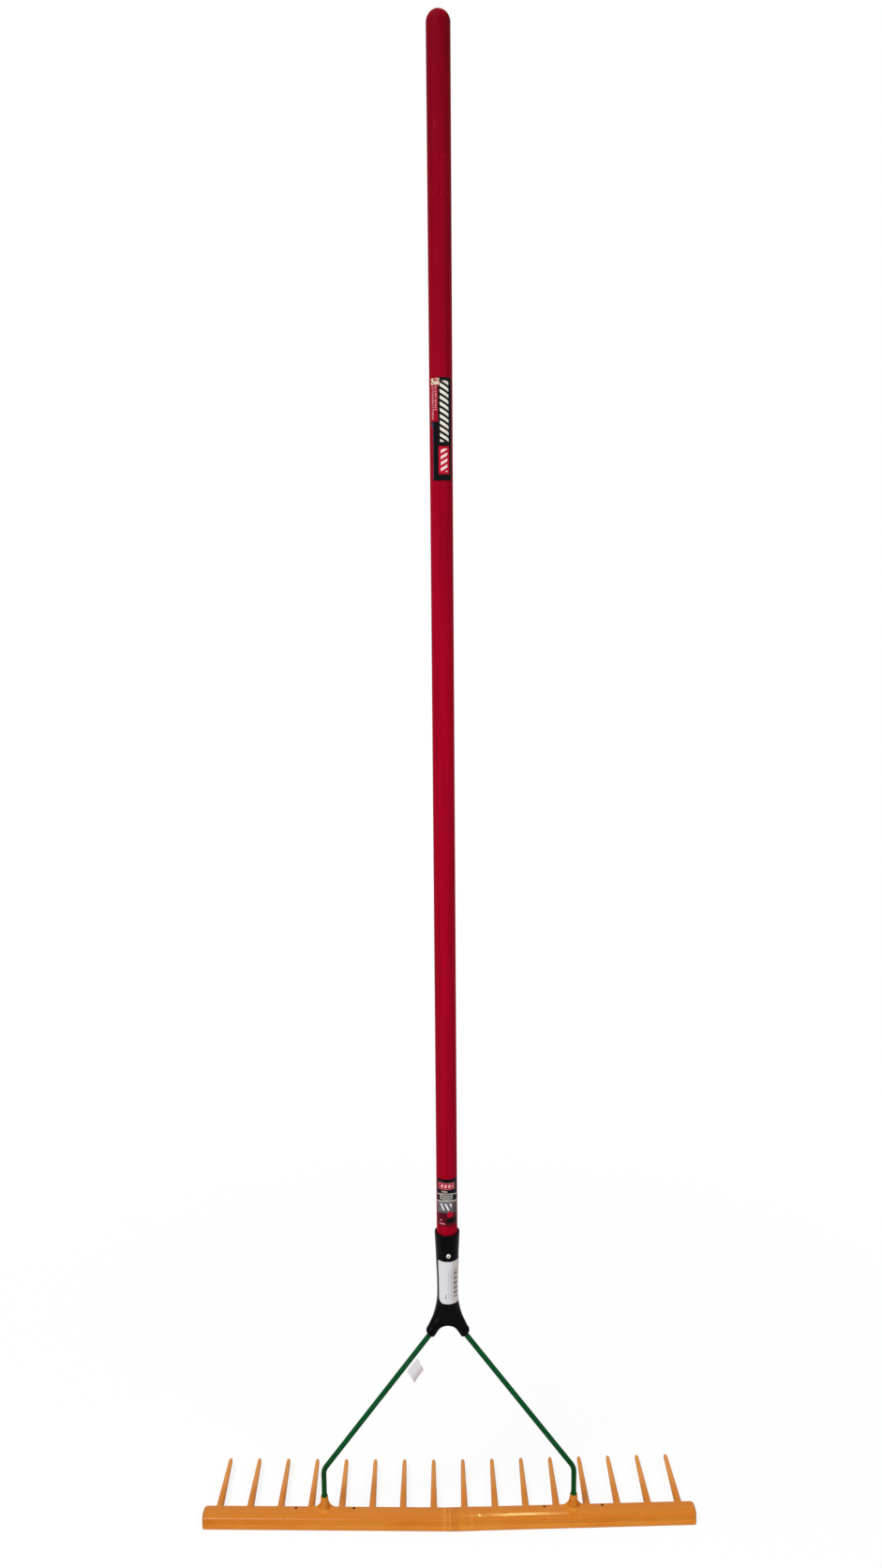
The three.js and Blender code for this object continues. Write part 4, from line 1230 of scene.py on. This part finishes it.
class RAKE_OT_socket(bpy.types.Operator):
    """Builds the forked socket and its rivet"""

    bl_idname = "rake.socket"
    bl_label = "Socket"

    def execute(self, context):
        scene = context.scene
        add_piece("forked_socket", socket_shell(scene.rake_socket, scene.rake_rods),
                  black_plastic(scene.rake_finishes), ["fork_socket"])
        shell, shade = rivet_shell(scene.rake_socket)
        add_piece("rivet", [shell], rivet_metal(scene.rake_finishes),
                  ["socket_rivet"], 50, shade=shade)
        return {"FINISHED"}


class RAKE_OT_handle(bpy.types.Operator):
    """Builds the painted wooden handle"""

    bl_idname = "rake.handle"
    bl_label = "Handle"

    def execute(self, context):
        scene = context.scene
        add_piece("wooden_handle", [handle_shell(scene.rake_handle, scene.rake_socket.rim_height)],
                  painted_wood(scene.rake_finishes), ["handle"])
        return {"FINISHED"}


class RAKE_OT_films(bpy.types.Operator):
    """Builds the sticker, the label and the long decal"""

    bl_idname = "rake.films"
    bl_label = "Films"

    def execute(self, context):
        scene = context.scene
        sizes, handle, socket = scene.rake_wraps, scene.rake_handle, scene.rake_socket

        def on_socket(heights, turn):
            return socket_radius(socket, heights, turn)

        def on_handle(heights, turn):
            return handle_radius(handle, socket.rim_height, heights)

        label_corner = sizes.label_corner
        for name, node, print_of, slot, radius_at, *shape in (
                ("paper_sticker", "socket_sticker", sticker_print, "white_paper", on_socket,
                 sizes.sticker_from, sizes.sticker_to, sizes.sticker_corner, MM, sizes),
                ("lower_label", "handle_label", label_print, "printed_film", on_handle,
                 sizes.label_from, sizes.label_to, label_corner, label_corner, sizes),
                ("upper_decal", "handle_decal", decal_print, "printed_film", on_handle,
                 sizes.decal_from, sizes.decal_to, MM, MM, sizes,
                 sizes.decal_narrow - sizes.decal_from)):
            low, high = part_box(node)
            shell, flat = film_shell(radius_at, low.z, high.z, *shape)
            add_piece(name, [shell], print_of(scene.rake_finishes), [node], uv=flat)
        return {"FINISHED"}


class RAKE_OT_flag(bpy.types.Operator):
    """Builds the paper flag on its clear tail"""

    bl_idname = "rake.flag"
    bl_label = "Flag"

    def execute(self, context):
        scene = context.scene
        sizes = scene.rake_wraps
        shell, uv = flag_piece(sizes, scene.rake_rods)
        add_piece("flag_of_paper", [shell], flag_paper(sizes),
                  ["paper_flag"], 60, uv=uv)
        return {"FINISHED"}


class RAKE_OT_stage(bpy.types.Operator):
    """Sets up the floor, the surroundings, the lamps and the camera"""

    bl_idname = "rake.stage"
    bl_label = "Stage"

    def execute(self, context):
        scene = context.scene
        settings = scene.rake_stage
        scene.view_settings.view_transform = "Standard"
        self.floor(scene)
        self.surroundings(scene, settings.sky)
        self.lamp(scene, "key_lamp", settings.key, (2.1, 2.1), (-1.85, -2.2, 5.0), (0, 0, 0.6))
        self.lamp(scene, "fill_lamp", settings.fill, (1.0, 1.0), (1.7, -1.6, 2.5), (0, 0, 1.5))
        gleam = self.lamp(scene, "gleam_lamp", settings.gleam, (0.12, 1.4), (0.475, 3.05, 5.17),
                          (0.475, 0, 0), (0.96, 1, 0.46))
        gleam.visible_diffuse = False
        self.camera(scene, settings)
        return {"FINISHED"}

    def floor(self, scene):
        """A white floor just below the rake, which glows for what shows it, the more the farther
        off."""
        reach, below = 6.0, -0.2 * MM
        mesh = bpy.data.meshes.new("floor")
        corners = ((-1, -1), (1, -1), (1, 1), (-1, 1))
        mesh.from_pydata([(x * reach, y * reach, below) for x, y in corners], [], [(0, 1, 2, 3)])
        floor = bpy.data.objects.new("floor", mesh)
        scene.collection.objects.link(floor)
        made = Finish("floor_white")
        seen = made.seen()
        grain = made.noise(8, 3)
        tone = made.blend(seen, (0.7, 0.7, 0.7), (0.95, 0.95, 0.95))
        made.finish(Base_Color=tone, Roughness=0.75 + grain * 0.1, Specular_IOR_Level=0.05)
        far = made.node("ShaderNodeVectorMath", {"operation": "LENGTH"}, {0: made.place}, "Value")
        share = seen * (0.84 + far.step(0.75, 0.4) * 0.16)
        glow = made.node("ShaderNodeEmission", None, {"Color": (1, 1, 1, 1), "Strength": 1.0})
        both = made.node(
            "ShaderNodeMixShader", None, {0: share, 1: Wire(made, made.shader.outputs[0]), 2: glow})
        made.fill(made.tree.nodes["Material Output"], {"Surface": both})
        mesh.materials.append(made.material)

    def surroundings(self, scene, strength):
        """White surroundings, at full strength for what shows them, and weaker as light."""
        scene.world = bpy.data.worlds.new("white_room")
        scene.world.use_nodes = True
        made = Nodes(scene.world.node_tree)
        made.fill(made.tree.nodes["Background"], {
            "Color": (1, 1, 1, 1), "Strength": strength + made.seen() * (1 - strength)})

    def lamp(self, scene, name, power, size, place, target, tint=(1, 1, 1)):
        """Adds a rectangular lamp at a place, turned to its target."""
        data = bpy.data.lights.new(name, "AREA")
        data.shape = "RECTANGLE"
        data.size, data.size_y = size
        data.energy = power
        data.color = tint
        lamp = bpy.data.objects.new(name, data)
        scene.collection.objects.link(lamp)
        lamp.location = place
        lamp.rotation_euler = (Vector(target) - Vector(place)).to_track_quat("-Z", "Y").to_euler()
        return lamp

    def camera(self, scene, settings):
        """Adds the camera. Its forward axis tips down and turns right, and its right and up axes
        lean by the roll, as a turn by the sine and cosine of it."""
        data = bpy.data.cameras.new("camera")
        data.lens = settings.lens
        data.shift_x = settings.shift
        data.clip_end = 100
        pitch, yaw, roll = settings.camera_pitch, settings.camera_yaw, settings.camera_roll
        forward = Vector((
            math.sin(yaw) * math.cos(pitch), math.cos(yaw) * math.cos(pitch), -math.sin(pitch)))
        right = forward.cross(Vector((0, 0, 1))).normalized()
        up = right.cross(forward)
        leaned_right = right * math.cos(roll) - up * math.sin(roll)
        leaned_up = right * math.sin(roll) + up * math.cos(roll)
        turn = Matrix((leaned_right, leaned_up, -forward)).transposed().to_4x4()
        camera = bpy.data.objects.new("camera", data)
        camera.matrix_world = Matrix.Translation(settings.camera_place) @ turn
        scene.collection.objects.link(camera)
        scene.camera = camera


class RAKE_PT_panel(bpy.types.Panel):
    """Lists the steps that build the rake"""

    bl_idname = "RAKE_PT_panel"
    bl_label = "Leveling Rake"
    bl_space_type = "VIEW_3D"
    bl_region_type = "UI"
    bl_category = "Rake"

    def draw(self, context):
        for step in STEPS:
            self.layout.operator(step.bl_idname)
        for group in GROUPS:
            box = self.layout.box()
            settings = getattr(context.scene, group)
            for key in settings.bl_rna.properties.keys():
                if key not in ("rna_type", "name"):
                    box.prop(settings, key)


STEPS = (
    RAKE_OT_head, RAKE_OT_rods, RAKE_OT_socket, RAKE_OT_handle, RAKE_OT_films, RAKE_OT_flag,
    RAKE_OT_stage)
GROUPS = {
    "rake_head": HeadSizes, "rake_rods": RodSizes, "rake_socket": SocketSizes,
    "rake_handle": HandleSizes, "rake_wraps": WrapSizes, "rake_finishes": Finishes,
    "rake_stage": StageSettings}


def register():
    for kind in (*GROUPS.values(), *STEPS, RAKE_PT_panel):
        bpy.utils.register_class(kind)
    for name, kind in GROUPS.items():
        setattr(bpy.types.Scene, name, PointerProperty(type=kind))


def unregister():
    for name in GROUPS:
        delattr(bpy.types.Scene, name)
    for kind in reversed((*GROUPS.values(), *STEPS, RAKE_PT_panel)):
        bpy.utils.unregister_class(kind)


def main():
    register()
    bpy.ops.rake.head()
    bpy.ops.rake.rods()
    bpy.ops.rake.socket()
    bpy.ops.rake.handle()
    bpy.ops.rake.films()
    bpy.ops.rake.flag()
    bpy.ops.rake.stage()


if __name__ == "__main__":
    main()
